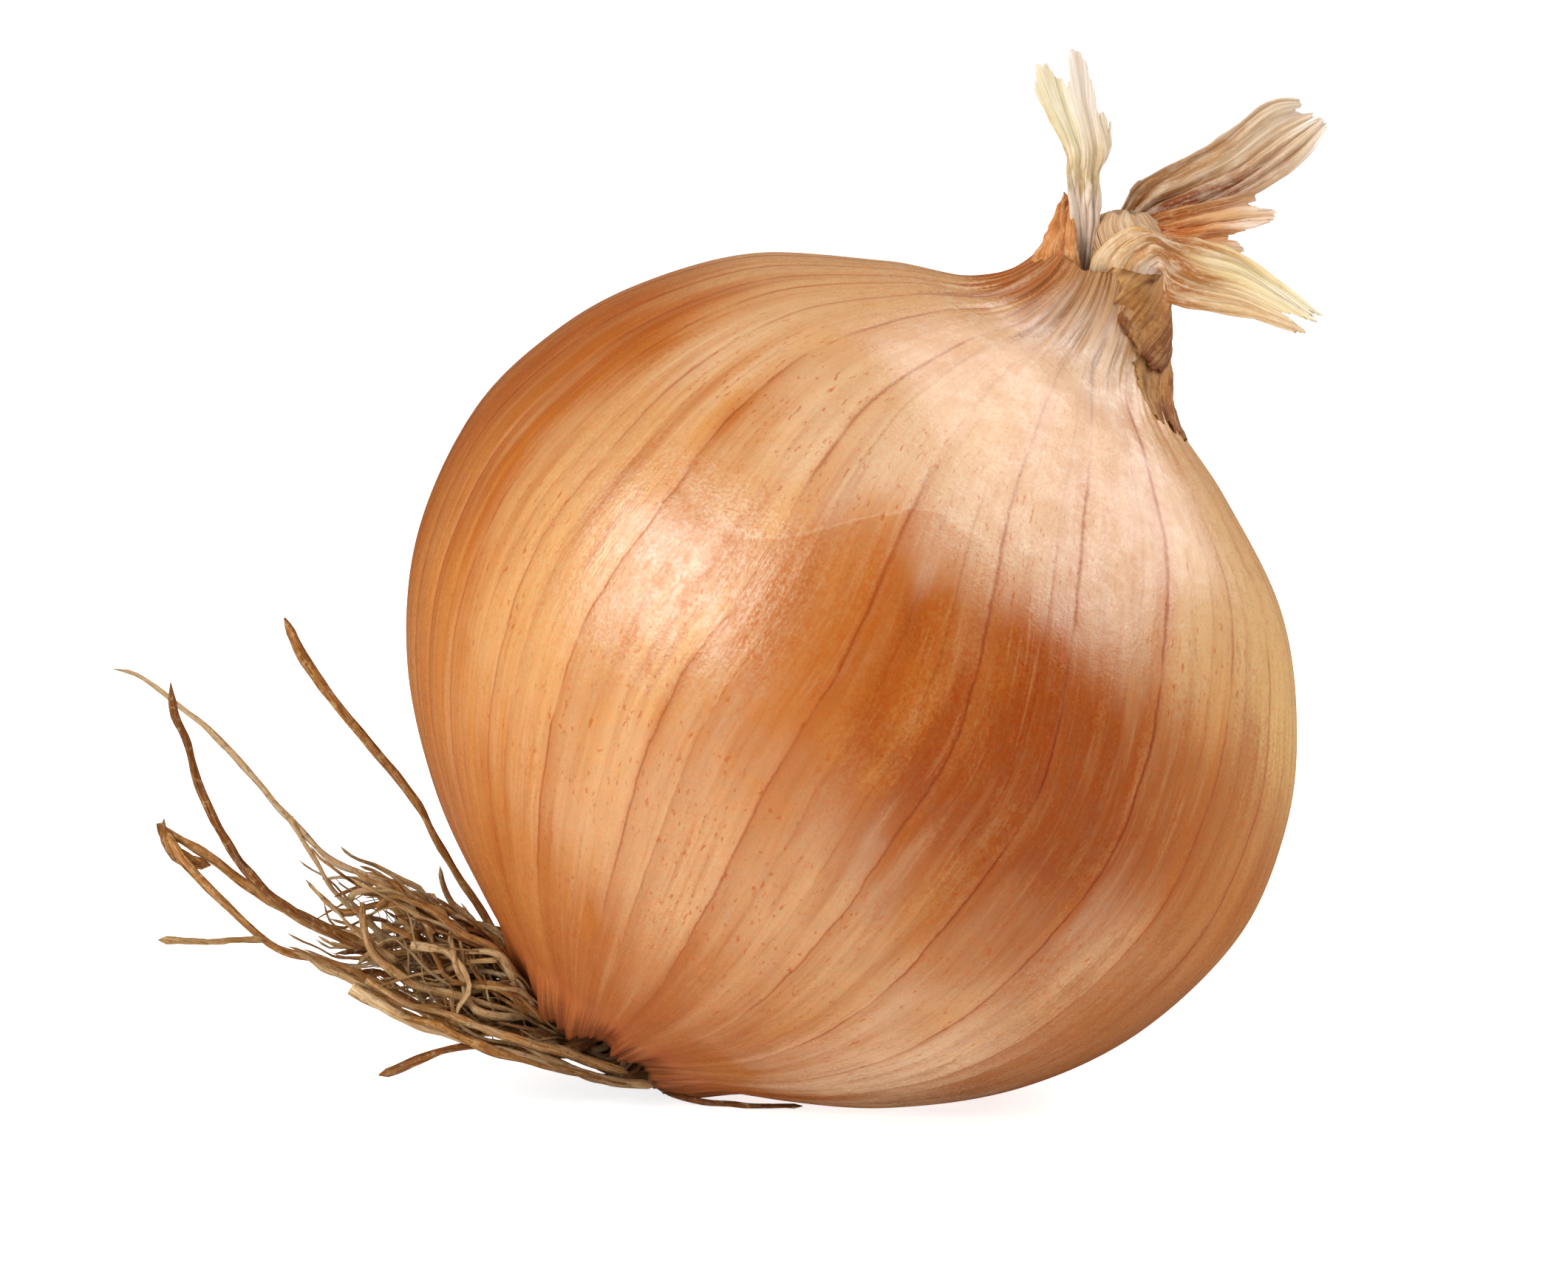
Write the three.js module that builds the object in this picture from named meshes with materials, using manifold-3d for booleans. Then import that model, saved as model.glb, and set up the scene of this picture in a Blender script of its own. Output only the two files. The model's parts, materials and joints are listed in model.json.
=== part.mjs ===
// A dry bulb onion lying on its side, as it comes to rest: the neck points up to the right, the roots
// to the left.
// Millimetres, +Z up. The origin is the middle of the small flat spot that the onion rests on.
import * as THREE from "three";
import { mergeVertices } from "three/addons/utils/BufferGeometryUtils.js";
import Module from "manifold-3d";

const wasm = await Module();
wasm.setup();

// ---- Driving dimensions ----

const BULB_RADIUS = 42; // the bulb is 84 mm across at its widest
const LEAN = THREE.MathUtils.degToRad(34.7); // the bulb's axis leans this far from upright, to the right
const CENTRE_HEIGHT = 38.25; // the bulb's middle above the surface that it rests on
const CENTRE_X = -1.95; // the bulb's middle, left of the flat spot's middle
const GAP = 0.3; // clearance between neighbouring pieces
const SHEET = 0.7; // thickness of a dry leaf
const SKIN_FLAP = 0.65; // thickness of a torn flap of skin
const FLAP_LIFT = GAP + SKIN_FLAP / 2 + 0.1; // from the skin to the middle of a flap that lies on it

const VEINS = 24; // veins run from the roots to the neck, each in a shallow groove
const FACETS_PER_VEIN = 3;
const RINGS = 24;
const GROOVE_DEPTH = 0.22; // depth of a vein's groove at the bulb's middle
const NECK_FOLD_DEPTH = 0.75; // the grooves deepen to folds at the neck
const VEIN_TWIST = 0.17; // the veins wind round the bulb by this angle from neck to roots
const VEIN_DRIFT = 0.09; // how unevenly the veins are spaced, in radians
const FAINT_VEIN = 0.45; // share of its depth that the faintest vein has
const STRONG_VEIN = 1.2;

const NECK_SHIFT = 1.0; // the neck leaves the axis by this much, to the left
const NECK_CURVE = 0.037; // and then curves further to the left
const NECK_CURVE_START = 38;
const NECK_FLATNESS = 0.8; // depth over width at the top of the neck

const CROWN_RADIUS = 7.3; // the woody disc that the roots grow from
const CROWN_TOP = -37.8;
const CROWN_BOTTOM = -39.5;
const RIM_TEETH = 0.65; // how far the skin's torn edge round the roots reaches down
const TUFT_ROOTS = 35;
const TUFT_THICKNESS = 1.05;
const TUFT_WIDTH = 5.8; // the tuft's roots leave the crown this far to the front and back
const TUFT_LENGTH = 11; // length of the shortest root
const TUFT_LENGTH_SPREAD = 14;
const TUFT_MIDDLE = -41.0; // height of the tuft's middle layer where it leaves the crown
const TUFT_SLOPE = 0.12;
const TUFT_DEPTH = 3.9; // half the height of the tuft where it is fullest
const TUFT_TANGLE = 1.3; // how far a root wanders out of its layer

// The bulb's outline, from the skin's edge round the roots to the neck: [radius, height along the axis].
const BULB_OUTLINE = [
  [9.0, -38.7],
  [16.9, -34.9],
  [25.7, -29.4],
  [34.1, -21.4],
  [39.8, -11.4],
  [BULB_RADIUS, 0.7],
  [40.1, 10.7],
  [36.0, 18.7],
  [29.0, 26.6],
  [18.9, 32.6],
  [11.4, 36.0],
  [7.9, 40.0],
  [6.1, 44.0],
  [4.9, 48.6],
];

// The underside, from the hollow that the roots grow in to the skin's edge.
const HOLLOW_OUTLINE = [
  [0, -37.3],
  [7.7, -37.3],
];
const RIM_OUTLINE = [
  [8.0, -38.9],
  [8.6, -39.05],
];

const COLOURS = {
  skin: 0xcf8a4e,
  sheath: 0xb98a5e,
  pale_leaf: 0xe2cf9c,
  brown_leaf: 0xb07a4c,
  flap: 0x9c6438,
  root: 0x7d5a3a,
};

// ---- Helpers ----

// The same run of numbers between 0 and 1 every time.
function seeded(seed) {
  let state = seed;
  return () => {
    state = (state + 0x6d2b79f5) | 0;
    let t = Math.imul(state ^ (state >>> 15), 1 | state);
    t = (t + Math.imul(t ^ (t >>> 7), 61 | t)) ^ t;
    return ((t ^ (t >>> 14)) >>> 0) / 4294967296;
  };
}

function solidOf(geometry) {
  const bare = new THREE.BufferGeometry();
  bare.setAttribute("position", geometry.getAttribute("position").clone());
  bare.setIndex(geometry.index ? geometry.index.clone() : null);
  const merged = mergeVertices(bare, 1e-3);
  const vertProperties = new Float32Array(merged.getAttribute("position").array);
  const triVerts = new Uint32Array(merged.index.array);
  return new wasm.Manifold(new wasm.Mesh({ numProp: 3, vertProperties, triVerts }));
}

// The largest body of a solid, so a scrap that a cut leaves loose is dropped.
function mainBody(solid) {
  const bodies = solid.decompose();
  return bodies.reduce((a, b) => (a.volume() > b.volume() ? a : b));
}

function geometryOf(solid) {
  const mesh = solid.getMesh();
  const geometry = new THREE.BufferGeometry();
  geometry.setAttribute("position", new THREE.BufferAttribute(mesh.vertProperties, 3));
  geometry.setIndex(new THREE.BufferAttribute(mesh.triVerts, 1));
  geometry.computeVertexNormals();
  return geometry;
}

function moveVertices(geometry, move) {
  const position = geometry.getAttribute("position");
  const point = new THREE.Vector3();
  for (let i = 0; i < position.count; i++) {
    point.fromBufferAttribute(position, i);
    move(point, i);
    position.setXYZ(i, point.x, point.y, point.z);
  }
  return geometry;
}

// A value that goes smoothly from a at x = from to b at x = to.
function ease(x, from, to, a, b) {
  return a + (b - a) * THREE.MathUtils.smoothstep(x, from, to);
}

// Turns a lathe's upright Y axis into Z.
function upright(geometry) {
  return geometry.rotateX(Math.PI / 2);
}

// Moves a shape from the bulb's own frame, whose Z is the bulb's axis, into the part's frame.
function leanOver(geometry) {
  return geometry.rotateY(LEAN).translate(CENTRE_X, 0, CENTRE_HEIGHT);
}

// ---- The bulb ----

// How far the neck's middle has bent away from the bulb's axis, at a height along it.
function neckBend(height) {
  return -ease(height, 28, 37, 0, NECK_SHIFT) - NECK_CURVE * Math.max(0, height - NECK_CURVE_START) ** 2;
}

// The neck is a little flat, narrower from front to back.
function neckFlatness(height) {
  return ease(height, 34, 46, 1, NECK_FLATNESS);
}

function flatPoints(pairs) {
  return pairs.map(([r, h]) => new THREE.Vector2(r, h));
}

const outline = new THREE.SplineCurve(flatPoints(BULB_OUTLINE));

// The bulb's radius at a height along its axis.
function bulbRadius(height) {
  const upper = BULB_OUTLINE.findIndex(([, h]) => h >= height);
  const [, low] = BULB_OUTLINE[upper - 1];
  const [, high] = BULB_OUTLINE[upper];
  const share = (height - low) / (high - low);
  return outline.getPoint((upper - 1 + share) / (BULB_OUTLINE.length - 1)).x;
}

// A point on the skin in the bulb's frame. Angle 0 faces the front (-Y) and grows to the right (+X).
function skinPoint(angle, height, lift) {
  const radius = bulbRadius(height) + lift;
  const x = neckBend(height) + radius * Math.sin(angle);
  const y = -radius * neckFlatness(height) * Math.cos(angle);
  return new THREE.Vector3(x, y, height);
}

function bulbSolid() {
  const skin = outline.getSpacedPoints(RINGS);
  const rim = flatPoints(RIM_OUTLINE);
  const underside = [...flatPoints(HOLLOW_OUTLINE), ...rim];
  const top = new THREE.Vector2(0, skin[skin.length - 1].y);
  const profile = [...underside, ...skin, top];
  const facets = VEINS * FACETS_PER_VEIN;
  const random = seeded(11);
  const drift = Array.from({ length: VEINS }, () => (random() - 0.5) * VEIN_DRIFT);
  const depthShare = () => THREE.MathUtils.lerp(FAINT_VEIN, STRONG_VEIN, random());
  const strength = Array.from({ length: VEINS }, depthShare);
  const teeth = Array.from({ length: facets }, () => random());
  const geometry = upright(new THREE.LatheGeometry(profile, facets));
  moveVertices(geometry, (point, i) => {
    const ring = i % profile.length;
    const facet = Math.floor(i / profile.length) % facets;
    const vein = Math.floor(facet / FACETS_PER_VEIN);
    const inGroove = facet % FACETS_PER_VEIN === 0;
    const { x: radius, y: height } = profile[ring];
    if (radius < 1e-6) {
      point.x = neckBend(height);
      return;
    }
    const blend = (facet % FACETS_PER_VEIN) / FACETS_PER_VEIN;
    const veinDrift = drift[vein] * (1 - blend) + drift[(vein + 1) % VEINS] * blend;
    const twist = VEIN_TWIST * (0.5 - height / (2 * BULB_RADIUS));
    const angle = (2 * Math.PI * facet) / facets + veinDrift + twist;
    const depth = ease(height, 30, 42, GROOVE_DEPTH, NECK_FOLD_DEPTH) * strength[vein];
    const onTheSkin = ring >= underside.length;
    const bodyRadius = radius - (inGroove && onTheSkin ? depth : 0);
    point.x = neckBend(height) + bodyRadius * Math.sin(angle);
    point.y = -bodyRadius * neckFlatness(height) * Math.cos(angle);
    if (rim.includes(profile[ring])) point.z -= RIM_TEETH * teeth[facet] ** 2;
  });
  return solidOf(leanOver(geometry));
}

// ---- Dry leaves and flaps ----

// The surface between two edges, each a list of points from a leaf's foot to its tip.
function between(left, right) {
  const leftEdge = new THREE.CatmullRomCurve3(left, false, "centripetal");
  const rightEdge = new THREE.CatmullRomCurve3(right, false, "centripetal");
  return (u, v) => leftEdge.getPoint(u).lerp(rightEdge.getPoint(u), v);
}

// The way that a surface faces, at u along it and v across it.
function facing(surface, u, v) {
  const near = 0.02;
  const alongIt = surface(Math.min(1, u + near), v).sub(surface(Math.max(0, u - near), v));
  const acrossIt = surface(u, Math.min(1, v + near)).sub(surface(u, Math.max(0, v - near)));
  return acrossIt.cross(alongIt).normalize();
}

// A dry leaf on a surface of u, from foot to tip, and v, from edge to edge. Its ridges run along it,
// `footArch` and `arch` bow it across at its foot and beyond, and `tips` gives each strip's length
// as a share of the whole, which tears the end. A grown copy cuts the slot that the leaf stands in.
function leaf({ surface, along, tips, ridge, arch = 0, footArch = arch, thickness = SHEET }, grow = 0) {
  const across = tips.length - 1;
  const foot = 0.35; // the share of its length that the foot takes
  const rows = [];
  for (let i = 0; i <= along; i++) {
    const row = [];
    for (let j = 0; j <= across; j++) {
      const v = j / across;
      const u = (i / along) * tips[j];
      const bow = ease(u, 0, foot, footArch, arch) * 4 * v * (1 - v);
      const swell = bow + ridge * (j % 2 ? 1 : -1) * Math.min(1, 4 * u);
      row.push(surface(u, v).addScaledVector(facing(surface, u, v), swell));
    }
    rows.push(row);
  }
  const at = (i, j) => rows[THREE.MathUtils.clamp(i, 0, along)][THREE.MathUtils.clamp(j, 0, across)];
  const sheet = new THREE.PlaneGeometry(1, 1, across, along);
  const count = sheet.getAttribute("position").count;
  const vertices = [];
  for (const side of [1, -1]) {
    for (let i = 0; i <= along; i++) {
      for (let j = 0; j <= across; j++) {
        const alongIt = at(i + 1, j).clone().sub(at(i - 1, j)).normalize();
        const acrossIt = at(i, j + 1).clone().sub(at(i, j - 1)).normalize();
        const normal = acrossIt.clone().cross(alongIt).normalize();
        const outward = (j === 0 ? -grow : 0) + (j === across ? grow : 0);
        const onward = (i === 0 ? -grow : 0) + (i === along ? grow : 0);
        const point = at(i, j).clone().addScaledVector(normal, side * (thickness / 2 + grow));
        vertices.push(point.addScaledVector(acrossIt, outward).addScaledVector(alongIt, onward));
      }
    }
  }
  const faces = [];
  const flat = sheet.index.array;
  for (let k = 0; k < flat.length; k += 3) {
    const [a, b, c] = [flat[k], flat[k + 1], flat[k + 2]];
    faces.push(a, c, b, a + count, b + count, c + count);
  }
  const border = [];
  for (let j = 0; j < across; j++) border.push(j);
  for (let i = 0; i < along; i++) border.push(i * (across + 1) + across);
  for (let j = across; j > 0; j--) border.push(along * (across + 1) + j);
  for (let i = along; i > 0; i--) border.push(i * (across + 1));
  border.forEach((a, k) => {
    const b = border[(k + 1) % border.length];
    faces.push(a, a + count, b, b, a + count, b + count);
  });
  const geometry = new THREE.BufferGeometry().setFromPoints(vertices).setIndex(faces);
  return solidOf(geometry);
}

// Points measured from the bulb's middle: right, back, up.
function fromCentre(points) {
  return points.map(([x, y, z]) => new THREE.Vector3(x + CENTRE_X, y, z + CENTRE_HEIGHT));
}

// The surface that lies on the skin between two edges, each point an angle in degrees and a height
// along the bulb's axis.
function onSkin(left, right) {
  const flat = (points) => points.map(([angle, height]) => new THREE.Vector3(angle, height, 0));
  const place = between(flat(left), flat(right));
  const turn = new THREE.Matrix4().makeRotationY(LEAN).setPosition(CENTRE_X, 0, CENTRE_HEIGHT);
  return (u, v) => {
    const { x: angle, y: height } = place(u, v);
    return skinPoint(THREE.MathUtils.degToRad(angle), height, FLAP_LIFT).applyMatrix4(turn);
  };
}

const leaves = {
  // The short upright leaf on the left, forked at the top.
  leaf_left: {
    surface: between(fromCentre([
      [20.0, -1.6, 36.6],
      [19.9, -1.8, 40.3],
      [19.4, -2.2, 45.5],
      [19.2, -2.8, 48.6],
      [17.8, -3.4, 51.6],
      [16.5, -3.6, 55.3],
    ]), fromCentre([
      [21.0, -1.4, 36.7],
      [21.3, -1.2, 40.5],
      [22.1, -1.0, 45.3],
      [22.9, -0.9, 48.1],
      [22.9, -0.6, 51.6],
      [21.6, 0.0, 57.0],
    ])),
    along: 12,
    tips: [0.97, 1, 0.82, 0.9, 1, 0.96, 0.8],
    ridge: 0.1,
  },
  // The long broad leaf that rolls away up to the right.
  leaf_back: {
    surface: between(fromCentre([
      [23.3, 1.4, 39.4],
      [24.3, 1.4, 42.0],
      [26.4, 2.0, 44.8],
      [29.4, 3.0, 46.3],
      [33.0, 4.5, 48.4],
      [37.6, 6.5, 51.7],
      [41.4, 7.0, 51.6],
    ]), fromCentre([
      [25.6, 0.6, 39.2],
      [26.3, 0.6, 40.8],
      [28.6, 0.8, 41.5],
      [32.0, 1.6, 42.4],
      [36.2, 3.2, 44.0],
      [40.4, 5.0, 46.6],
      [42.7, 6.4, 49.6],
    ])),
    along: 14,
    tips: [0.93, 0.97, 0.9, 0.97, 0.95, 1, 0.97, 0.98, 0.9],
    ridge: 0.22,
    arch: -1.0,
  },
  // The torn brown leaf between the two long ones.
  leaf_middle: {
    surface: between(fromCentre([
      [24.6, -0.6, 39.4],
      [26.6, -0.6, 40.6],
      [29.4, -0.2, 41.3],
      [33.3, 0.4, 42.2],
      [37.4, 0.8, 42.2],
    ]), fromCentre([
      [25.4, -1.0, 38.2],
      [27.6, -1.4, 39.0],
      [29.6, -1.4, 39.0],
      [32.0, -1.2, 38.9],
      [34.6, -1.2, 38.4],
    ])),
    along: 9,
    tips: [0.94, 1, 0.8, 0.93, 0.78, 1, 0.9],
    ridge: 0.14,
  },
  // The pale leaf that wraps the front of the neck, folds over and hangs down to the right.
  leaf_front: {
    surface: between(fromCentre([
      [21.6, -3.2, 37.95],
      [22.4, -3.6, 39.8],
      [24.0, -4.0, 41.2],
      [26.0, -4.2, 41.4],
      [28.0, -4.2, 40.9],
      [30.9, -4.2, 40.2],
      [34.6, -4.5, 39.2],
      [38.1, -5.5, 36.8],
      [41.7, -7.0, 33.3],
    ]), fromCentre([
      [27.2, -2.4, 37.15],
      [27.7, -3.0, 38.2],
      [28.0, -4.2, 39.1],
      [28.2, -5.0, 38.7],
      [28.7, -5.2, 36.8],
      [31.0, -5.0, 34.7],
      [34.6, -5.5, 34.0],
      [37.4, -6.5, 33.3],
      [40.0, -7.5, 32.4],
    ])),
    along: 16,
    tips: [1, 0.95, 0.97, 0.88, 0.95, 0.99, 0.9, 0.93],
    ridge: 0.14,
    arch: 0.4,
    footArch: 1.1,
  },
  // The torn brown point of skin beside the left leaf.
  skin_point: {
    surface: between(fromCentre([
      [16.9, -1.2, 38.2],
      [18.0, -1.2, 41.5],
      [19.1, -1.0, 44.3],
    ]), fromCentre([
      [19.3, 0.4, 38.2],
      [19.5, 0.1, 41.5],
      [19.8, -0.3, 44.0],
    ])),
    along: 5,
    tips: [0.9, 1, 0.88, 0.99, 0.9],
    ridge: 0.1,
  },
  // Two torn layers of outer skin that hang on the right of the neck.
  flap_upper: {
    surface: onSkin(
      [[15, 44.4], [14, 42.6], [20, 41.1], [30, 39.8], [40, 38.7]],
      [[112, 46.6], [112, 45.0], [110, 43.4], [108, 41.8], [104, 40.4]],
    ),
    along: 6,
    tips: [1, 0.9, 0.97, 0.86, 0.95, 0.88, 0.98, 0.92, 0.97],
    ridge: 0.12,
    thickness: SKIN_FLAP,
  },
  flap_lower: {
    surface: onSkin(
      [[50, 38.6], [50, 37.6], [54, 36.2], [60, 34.8]],
      [[108, 40.0], [105, 38.3], [98, 36.2], [88, 34.2]],
    ),
    along: 5,
    tips: [0.95, 1, 0.88, 1, 0.9, 1, 0.93],
    ridge: 0.1,
    thickness: SKIN_FLAP,
  },
};

// ---- The neck ----

// The sheaths of the inner leaves, dried together into a fluted column that twists and leans to the left.
const COLLAR_MIDDLE = [23.8, 0, 37.25]; // from the bulb's middle
const COLLAR_SLOPE = 0.15; // the cut edge of the outer skin falls to the right
const SHEATH_FLUTES = 11;
const SHEATH_FLUTE_DEPTH = 0.45;
const SHEATH_FLATNESS = 0.84; // it is narrower from front to back
const SHEATH_LEAN = -0.3; // sideways for each millimetre of height
const SHEATH_TWIST = 0.1; // radians for each millimetre of height
const SHEATH_FOOT = -3.6; // how deep its foot stands in the bulb
const SHEATH_LEDGE = GAP + 0.05; // its underside above the collar

function sheathSolid(grow = 0) {
  const profile = flatPoints([
    [0, SHEATH_FOOT - grow],
    [2.2 + grow, SHEATH_FOOT - grow],
    [2.45 + grow, SHEATH_LEDGE - grow],
    [3.7 + grow, SHEATH_LEDGE - grow],
    [3.9 + grow, 1.3],
    [3.75 + grow, 2.8],
    [3.2 + grow, 4.0],
    [2.0 + grow, 5.0 + grow],
    [0, 5.4 + grow],
  ]);
  const facets = 2 * SHEATH_FLUTES;
  const geometry = upright(new THREE.LatheGeometry(profile, facets));
  moveVertices(geometry, (point, i) => {
    const facet = Math.floor(i / profile.length) % facets;
    const height = point.z;
    const radius = Math.hypot(point.x, point.y);
    const flute = height > 0 && radius > 1 && facet % 2 ? SHEATH_FLUTE_DEPTH : 0;
    const angle = (2 * Math.PI * facet) / facets + SHEATH_TWIST * Math.max(0, height);
    point.x = (radius - flute) * Math.sin(angle) + SHEATH_LEAN * Math.max(0, height);
    point.y = -(radius - flute) * SHEATH_FLATNESS * Math.cos(angle);
  });
  geometry.rotateY(Math.atan(COLLAR_SLOPE));
  geometry.translate(CENTRE_X + COLLAR_MIDDLE[0], COLLAR_MIDDLE[1], CENTRE_HEIGHT + COLLAR_MIDDLE[2]);
  return solidOf(geometry);
}

// The cut edge of the outer skin, seen from the front and measured from the bulb's middle: it steps up
// on the left, and everything over it is cut off.
const COLLAR_LINE = [
  [4, 44.0],
  [17.2, 40.0],
  [19.8, 38.4],
  [20.2, 37.8],
  [27.6, 36.7],
  [40, 34.8],
  [40, 60],
  [4, 60],
];

function collarCut() {
  const line = COLLAR_LINE.map(([x, z]) => new THREE.Vector2(x + CENTRE_X, z + CENTRE_HEIGHT));
  const shape = new THREE.Shape(line);
  const depth = 30;
  const geometry = new THREE.ExtrudeGeometry(shape, { depth, bevelEnabled: false });
  return solidOf(geometry.translate(0, 0, -depth / 2).rotateX(Math.PI / 2));
}

// ---- The roots ----

// A section 1 mm across with a few sides.
function section(sides) {
  const corners = Array.from({ length: sides }, (_, k) => {
    const angle = (2 * Math.PI * k) / sides;
    return new THREE.Vector2(Math.cos(angle) / 2, Math.sin(angle) / 2);
  });
  return new THREE.Shape(corners);
}

// One root through points in the bulb's frame, thinner towards its tip.
function root(points, { thickness, sides, tipShare = 0.7, step = 3.4 }) {
  const curve = new THREE.CatmullRomCurve3(points, false, "centripetal");
  const steps = Math.max(3, Math.round(curve.getLength() / step));
  const along = { extrudePath: curve, steps, bevelEnabled: false };
  const geometry = new THREE.ExtrudeGeometry(section(sides), along);
  const spine = curve.getSpacedPoints(steps);
  moveVertices(geometry, (point) => {
    const distances = spine.map((p) => p.distanceTo(point));
    const nearest = distances.indexOf(Math.min(...distances));
    const width = thickness * THREE.MathUtils.lerp(1, tipShare, nearest / steps);
    point.sub(spine[nearest]).multiplyScalar(width).add(spine[nearest]);
  });
  return solidOf(leanOver(geometry));
}

// The lowest that the skin comes at a distance from the axis, with room for a root under it.
function underSkin(distance) {
  const rim = CROWN_BOTTOM - 0.95;
  const rimRadius = 9.6;
  const slope = 0.66;
  return distance < rimRadius ? rim : rim + slope * (distance - rimRadius);
}

// The tuft: roots leave the crown downwards, bend to the left and lie over each other in a flat, loose fan.
function tuft(random) {
  const strands = [];
  for (let k = 0; k < TUFT_ROOTS; k++) {
    const across = (2 * (k + 0.5)) / TUFT_ROOTS - 1;
    const startY = -TUFT_WIDTH * across + (random() - 0.5);
    const reachX = Math.sqrt(CROWN_RADIUS ** 2 - startY ** 2) - TUFT_THICKNESS;
    const startX = reachX * (2 * random() - 1);
    const layer = THREE.MathUtils.clamp(-startX / 6 + 0.9 * (random() - 0.5), -1, 1);
    const length = TUFT_LENGTH + TUFT_LENGTH_SPREAD * random() - 2.5 * Math.abs(across);
    const spread = 1 + 0.5 * random();
    const points = [
      new THREE.Vector3(startX, startY, CROWN_TOP - 0.6),
      new THREE.Vector3(startX - 0.5, startY * 1.02, underSkin(0) - 0.2 * random()),
    ];
    const stations = Math.round(length / 5) + 1;
    for (let n = 1; n <= stations; n++) {
      const x = startX - (length * n) / stations - 1.5;
      const middle = TUFT_MIDDLE + TUFT_SLOPE * x;
      const half = Math.min(TUFT_DEPTH, 1 - 2 * TUFT_SLOPE * Math.min(0, x));
      const y = startY * (1 + (spread - 1) * (n / stations)) + 2.2 * (random() - 0.5);
      const height = middle + half * layer + TUFT_TANGLE * (random() - 0.5);
      points.push(new THREE.Vector3(x, y, Math.min(height, underSkin(Math.hypot(x, y)))));
    }
    strands.push(root(points, { thickness: TUFT_THICKNESS * (0.8 + 0.45 * random()), sides: 4 }));
  }
  return strands;
}

// The long roots that stand clear of the tuft: thickness, and a route in the bulb's frame.
const LONG_ROOTS = [
  // the stiff one that climbs past the bulb's side
  [1.0, [
    [-4, 4.5, -38.4], [-6, 5.4, -40.8], [-10, 6.6, -40.2], [-14.5, 7.4, -38.2], [-21, 7.2, -35.4],
    [-27, 6, -32.4], [-36.3, 4, -29.4], [-41.7, 3.5, -27.4], [-45.4, 3, -25.2],
  ]],
  // the pale hair with the furthest tip
  [0.8, [
    [-5, 1, -38.4], [-7, 1.2, -40.9], [-13, 1, -40.6], [-21.3, 1, -39.6], [-25.5, 1, -40.0],
    [-29.4, 2, -41.0], [-35.2, 3, -40.0], [-40.3, 4, -38.8], [-46.1, 5, -37.8], [-52.8, 6, -37.6],
    [-55.6, 6, -38.4],
  ]],
  // its branch
  [0.8, [
    [-34.6, 3, -40.1], [-32.6, 2.4, -41.0], [-30.0, 2, -42.0], [-27.0, 1, -43.2], [-22, 0, -43.6],
    [-16, 0, -43.4],
  ]],
  // the dark wavy one
  [0.95, [
    [-5.5, -2.5, -38.4], [-7, -3, -41.2], [-16, -2, -44.6], [-24, -1.6, -45.8],
    [-30.5, -2.2, -46.2], [-34.8, -2.4, -45.6], [-39.0, -3, -44.0], [-43.0, -3.4, -41.6],
    [-46.5, -4, -38.6], [-49.0, -4.4, -37.0], [-50.8, -4, -34.9],
  ]],
  // two that meet in a hooked, flat end
  [1.15, [
    [-3, 2, -38.4], [-4.4, 2.2, -41.2], [-16, 1.6, -44.2], [-25.7, 0.2, -46.2], [-34.4, 0.4, -47.0],
    [-38.4, 0.2, -46.7], [-41.8, 0, -47.0], [-43.7, 0, -47.0], [-44.1, 0, -46.2],
  ]],
  [1.15, [
    [-2, -4.5, -38.4], [-3.6, -4.8, -41.6], [-13, -5, -46.0], [-23.4, -4.2, -47.6],
    [-28.4, -4, -49.4], [-31.5, -3.9, -49.5], [-36.0, -3, -48.9], [-40.0, -1.6, -48.2],
    [-42.8, -0.6, -47.4], [-44.0, 0, -46.6],
  ]],
  // the straight one at the bottom left
  [0.9, [
    [-30.6, -4.2, -49.4], [-35.3, -6, -52.6], [-38.6, -6.6, -54.6],
  ]],
  // the thin curl close to the bulb
  [0.8, [
    [-5, 3, -38.4], [-7.5, 3.4, -40.8], [-12.2, 4, -39.9], [-15.1, 4.2, -38.7], [-17.8, 4, -38.4],
    [-19.5, 3.6, -37.4], [-20.8, 3, -36.0],
  ]],
  // the blunt one that points down and forward
  [1.15, [
    [-1, -5.5, -38.4], [-2.2, -5.9, -41.4], [-5.6, -6.9, -44.0], [-9.7, -7.6, -46.2],
    [-12.4, -8.4, -48.7], [-14.3, -9, -51.6], [-15.4, -9.3, -53.0],
  ]],
  // the short one under the tuft
  [0.9, [
    [-1, -4, -38.4], [-2.4, -4.4, -41.6], [-9, -6, -45.6], [-15.7, -6.6, -47.4], [-18.8, -7, -47.7],
    [-21.1, -7, -48.6],
  ]],
  // the loop under the skin's edge
  [0.9, [
    [2, -5.5, -38.4], [2.6, -6.2, -41.0], [1.0, -7.4, -42.4], [-3.4, -8, -43.2], [-8, -8.2, -43.6],
    [-12, -8.4, -45.0],
  ]],
  // the dark strand squeezed under the bulb, to the right
  [0.8, [
    [4.5, -3, -38.4], [6.0, -3.8, -40.4], [7.8, -4.8, -40.2], [9.4, -5.6, -39.4],
  ]],
];

function rootsSolid() {
  const crownOutline = [
    [0, CROWN_BOTTOM - 0.4],
    [4.5, CROWN_BOTTOM],
    [CROWN_RADIUS - 0.5, CROWN_BOTTOM + 0.3],
    [CROWN_RADIUS, CROWN_TOP - 0.4],
    [CROWN_RADIUS - 0.3, CROWN_TOP],
    [0, CROWN_TOP],
  ].map(([r, h]) => new THREE.Vector2(r, h));
  const crown = solidOf(leanOver(upright(new THREE.LatheGeometry(crownOutline, 20))));
  const long = LONG_ROOTS.map(([thickness, route]) =>
    root(route.map((p) => new THREE.Vector3(...p)), { thickness, sides: 5 }),
  );
  return mainBody(wasm.Manifold.union([crown, ...tuft(seeded(5)), ...long]));
}

// ---- Assembly ----

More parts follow.
